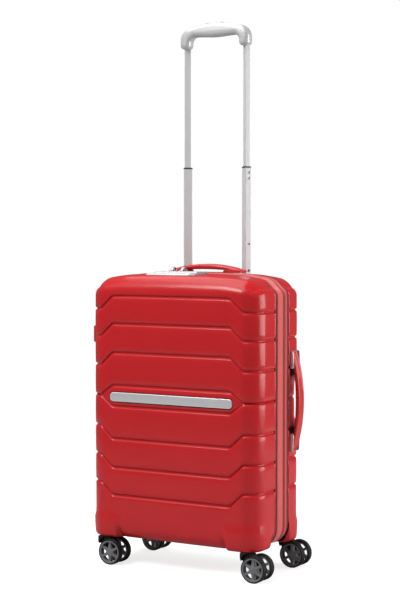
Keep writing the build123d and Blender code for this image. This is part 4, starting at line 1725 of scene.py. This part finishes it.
# ---------------------------------------------------------------- small metalwork
@dataclass
class Pulls:
    """Zip pulls: an arched plate with an eye, a coloured grip and a rounded tip."""

    palette: Palette

    def build(self) -> None:
        """Make both pull tabs from their places on the pins."""
        for side in ("left", "right"):
            low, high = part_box(f"pull_tab_{side}")
            x, half = (low[0] + high[0]) / 2, 0.0027
            line = [(-0.0152, 0.5548), (-0.0190, 0.5584), (-0.0245, 0.5584), (-0.0305, 0.5531), (-0.0343, 0.5531)]
            thick = 0.0015
            under = [(y + 0.0003, z - thick) for y, z in reversed(line)]
            plate = Bench.prism("plate", [(x - half, y, z) for y, z in line + under], (2 * half, 0, 0))
            Bench.rounded(plate, 0.0005, 3, 25.0)
            eyes = [Bench.rounded(Bench.rod("eye", 0.0021, 0.0013, (x + s * 0.0022, -0.015, 0.553), Axis.X, 28),
                                  0.0003, 2) for s in (-1, 1)]
            pull, tab = Bench.joined(f"zip_pull_{side}", [plate, *eyes]), f"pull_tab_{side}"
            dress(Bench.smooth(pull, 35.0), self.palette.zip_metal, tab, tab, slot="zip_metal")
            pad = Bench.block(f"zip_pull_pad_{side}", (x - 0.0019, -0.0236, 0.5580), (x + 0.0019, -0.0198, 0.5592))
            dress(Bench.smooth(Bench.rounded(pad, 0.0005, 3), 35.0), self.palette.handle, tab, slot="red_handle")


@dataclass
class LockFace:
    """The satin face of the lock, which laps over the front edge of the case."""

    palette: Palette
    lip: tuple[tuple[float, float], ...] = (
        (-0.0398, 0.5466), (-0.0398, 0.5484), (-0.0570, 0.5485), (-0.0632, 0.5481), (-0.0685, 0.5468),
        (-0.0712, 0.5455), (-0.0704, 0.5438), (-0.0660, 0.5454), (-0.0570, 0.5466))

    def build(self) -> None:
        """Model the face along the whole lock."""
        low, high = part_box("lock_base")
        face = Bench.prism("lock_face", [(low[0], y, z) for y, z in self.lip], (high[0] - low[0], 0, 0))
        Bench.rounded(face, 0.0004, 2, 40.0)
        dress(Bench.smooth(face, 35.0), self.palette.lock_plate, "front_half", slot="lock_metal")


@dataclass
class CadFinishes:
    """Finishes for the frame's own nodes that stay as they are."""

    palette: Palette
    table: dict[str, str] = field(default_factory=lambda: {
        "outer_tube_left": "tube", "outer_tube_right": "tube", "mid_tube_left": "tube", "mid_tube_right": "tube",
        "inner_tube_left": "tube", "inner_tube_right": "tube", "mid_tube_collars": "black_soft",
        "mid_tube_plugs": "black_soft", "inner_tube_plugs": "black_soft", "tube_bezel": "black_soft",
        "tube_foot_bracket": "black_soft", "release_button": "silver", "release_rods": "steel",
        "lock_base": "lock_plate", "lock_button": "lock", "key_cylinder": "steel",
        "lock_dial_1": "dial", "lock_dial_2": "dial", "lock_dial_3": "dial",
        "zip_slider_left": "zip_metal", "zip_slider_right": "zip_metal", "expansion_slider": "zip_metal",
        "front_foot": "foot", "back_foot": "foot", "front_caster_housings": "shell", "rear_caster_housings": "shell",
        "strap_buckle": "black", "strap_clip": "black"})

    def build(self, nodes: dict[str, Piece]) -> None:
        """Assign every finish.

        Args:
            nodes: The frame's nodes by name.
        """
        for name, finish in self.table.items():
            material, mesh = getattr(self.palette, finish), nodes[name].data
            mesh.materials.clear()
            mesh.materials.append(material)
            LOG.info("%s: finish %s", name, finish)


# ---------------------------------------------------------------- stage
@dataclass(frozen=True)
class Studio:
    """Floor, light and camera."""

    eye: Point = (1.465, -2.457, 0.624)
    yaw: float = 30.63
    pitch: float = -2.59
    lens: float = 91.8
    shift: float = 0.002
    world: float = 0.16
    floor_r: float = 1.9

    def build(self) -> None:
        """Set the whole stage."""
        self.floor()
        self.sky()
        self.lamp("key", (-0.75, -1.75, 2.15), (1.0, 0.8), 41.0)
        self.lamp("side", (2.2, 1.05, 0.85), (1.8, 1.6), 64.0)
        self.lamp("top", (-0.6, -0.2, 2.75), (3.2, 1.6), 46.0)
        self.sun()
        self.camera()

    def floor(self) -> None:
        """A pale, plain floor."""
        Bench.clear()
        bpy.ops.mesh.primitive_circle_add(vertices=96, radius=self.floor_r, fill_type="NGON")
        floor = Bench.settle("floor")
        tree = Tree("floor_pale")
        tree.set(Base_Color=(0.42, 0.42, 0.42), Roughness=0.75)
        glow = tree.node("ShaderNodeLightPath", {}, {}, "Is Camera Ray")
        tree.feed(tree.shader.inputs["Emission Color"], glow * 0.76)
        tree.shader.inputs["Emission Strength"].default_value = 1.0
        floor.data.materials.append(tree.material)

    def sky(self) -> None:
        """Even white surroundings."""
        world = bpy.data.worlds.new("studio")
        bpy.context.scene.world = world
        world.use_nodes = True
        nodes, links = world.node_tree.nodes, world.node_tree.links
        shade = nodes["Background"]
        shade.inputs["Color"].default_value = (1.0, 1.0, 1.0, 1.0)
        seen, power = nodes.new("ShaderNodeLightPath"), nodes.new("ShaderNodeMath")
        power.operation, power.use_clamp = "MULTIPLY_ADD", False
        power.inputs[1].default_value, power.inputs[2].default_value = 1.0 - self.world, self.world
        links.new(seen.outputs["Is Camera Ray"], power.inputs[0])
        links.new(power.outputs[0], shade.inputs["Strength"])

    def lamp(self, name: str, place: Point, size: tuple[float, float], power: float) -> None:
        """A soft box aimed at the middle of the case.

        Args:
            name: The lamp's name.
            place: Where it stands.
            size: Its width and height.
            power: Its power in watts.
        """
        light = bpy.data.lights.new(name, "AREA")
        light.shape, light.size, light.size_y, light.energy = "RECTANGLE", *size, power
        lamp = bpy.data.objects.new(name, light)
        bpy.context.scene.collection.objects.link(lamp)
        lamp.location = place
        lamp.rotation_euler = (Vector((0, 0, 0.4)) - Vector(place)).to_track_quat("-Z", "Y").to_euler()

    def sun(self) -> None:
        """A very soft overall light that keeps the floor even."""
        light = bpy.data.lights.new("sun", "SUN")
        light.energy, light.angle = 1.0, math.radians(60)
        sun = bpy.data.objects.new("sun", light)
        bpy.context.scene.collection.objects.link(sun)
        sun.rotation_euler = (math.radians(28), math.radians(-14), 0)

    def camera(self) -> None:
        """The camera at its viewing angle."""
        lens = bpy.data.cameras.new("camera")
        lens.lens, lens.sensor_width, lens.shift_y = self.lens, 36.0, self.shift
        camera = bpy.data.objects.new("camera", lens)
        bpy.context.scene.collection.objects.link(camera)
        yaw, pitch = math.radians(self.yaw), math.radians(self.pitch)
        look = Vector((-math.sin(yaw) * math.cos(pitch), math.cos(yaw) * math.cos(pitch), math.sin(pitch)))
        camera.location, camera.rotation_euler = self.eye, look.to_track_quat("-Z", "Y").to_euler()
        bpy.context.scene.camera = camera
        bpy.context.scene.view_settings.view_transform = "Standard"


@dataclass
class CaseAssembly:
    """Both halves of the case and the two carry handles, placed by the frame's boxes."""

    palette: Palette
    deeper: float = 0.0035
    hand_depth: float = 0.0046
    tube_gap: float = 0.0004
    opening_below: float = 0.035
    opening_above: float = 0.010
    wall_gap: float = 0.00006
    top_z: float = 0.5471
    top_length: float = 0.82

    def form(self) -> CaseForm:
        """The form that spans both halves."""
        low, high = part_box("front_shell")
        return CaseForm(high[0], low[2] - self.deeper, high[2], low[1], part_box("back_shell")[1][1])

    def front(self, form: CaseForm) -> None:
        """Make the front half, with the trim bar's recess.

        Args:
            form: The case's form.
        """
        rim_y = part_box("front_shell")[1][1]
        half = HalfShell(form, self.palette, "front_shell_moulding", -1, rim_y, "front_half", ("front_shell",))
        half.finish(Bench.cut_by(half.build(), TrimBar(self.palette).cutter()))

    def back(self, form: CaseForm) -> None:
        """Make the back half, with its hand recess and the openings for the tubes.

        Args:
            form: The case's form.
        """
        (low, high), (side_low, side_high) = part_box("back_shell"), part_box("side_handle_brackets")
        half = HalfShell(form, self.palette, "back_shell_moulding", 1, low[1], "back_half", ("back_shell",),
                         hand_z=(side_low[2] + side_high[2]) / 2, hand_depth=self.hand_depth)
        moulding, gap = half.build(), self.tube_gap
        for side in ("left", "right"):
            tube_low, tube_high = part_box(f"outer_tube_{side}")
            opening = Bench.block("opening", (tube_low[0] - gap, tube_low[1] - gap, high[2] - self.opening_below),
                                  (tube_high[0] + gap, tube_high[1] + gap, high[2] + self.opening_above))
            Bench.cut_by(moulding, opening)
        half.finish(moulding)

    def handles(self) -> None:
        """Make the top handle and the side handle."""
        top_low, top_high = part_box("top_handle_brackets")
        top = (Matrix.Translation((0, (top_low[1] + top_high[1]) / 2, self.top_z))
               @ Matrix.Diagonal((self.top_length, 1, 1, 1)))
        CarryHandle(self.palette, "top_handle", "top_handle", "top_handle_brackets", top, False,
                    rise=0.0166, under=0.0066).build()
        side_low, side_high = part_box("side_handle_brackets")
        wall_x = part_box("back_shell")[1][0] + self.wall_gap
        side = (Matrix.Translation((wall_x, (side_low[1] + side_high[1]) / 2, (side_low[2] + side_high[2]) / 2))
                @ Matrix.Rotation(math.radians(90), 4, "Y"))
        CarryHandle(self.palette, "side_handle", "side_handle", "side_handle_brackets", side, True,
                    end_rise=0.0030, end_under=0.0004).build()


def main() -> None:
    """Build everything in order."""
    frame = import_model()
    palette = Palette()
    Studio().build()
    case = CaseAssembly(palette)
    form = case.form()
    case.front(form)
    case.back(form)
    ZipBand(form, palette).build()
    Interior(form, palette).build()
    TrimBar(palette).build()
    case.handles()
    PullGrip(palette).build()
    Casters(palette).build()
    Pulls(palette).build()
    LockFace(palette).build()
    CadFinishes(palette).build(frame["nodes"])


if __name__ == "__main__":
    logging.basicConfig(level=logging.INFO, format="%(name)s: %(message)s")
    main()
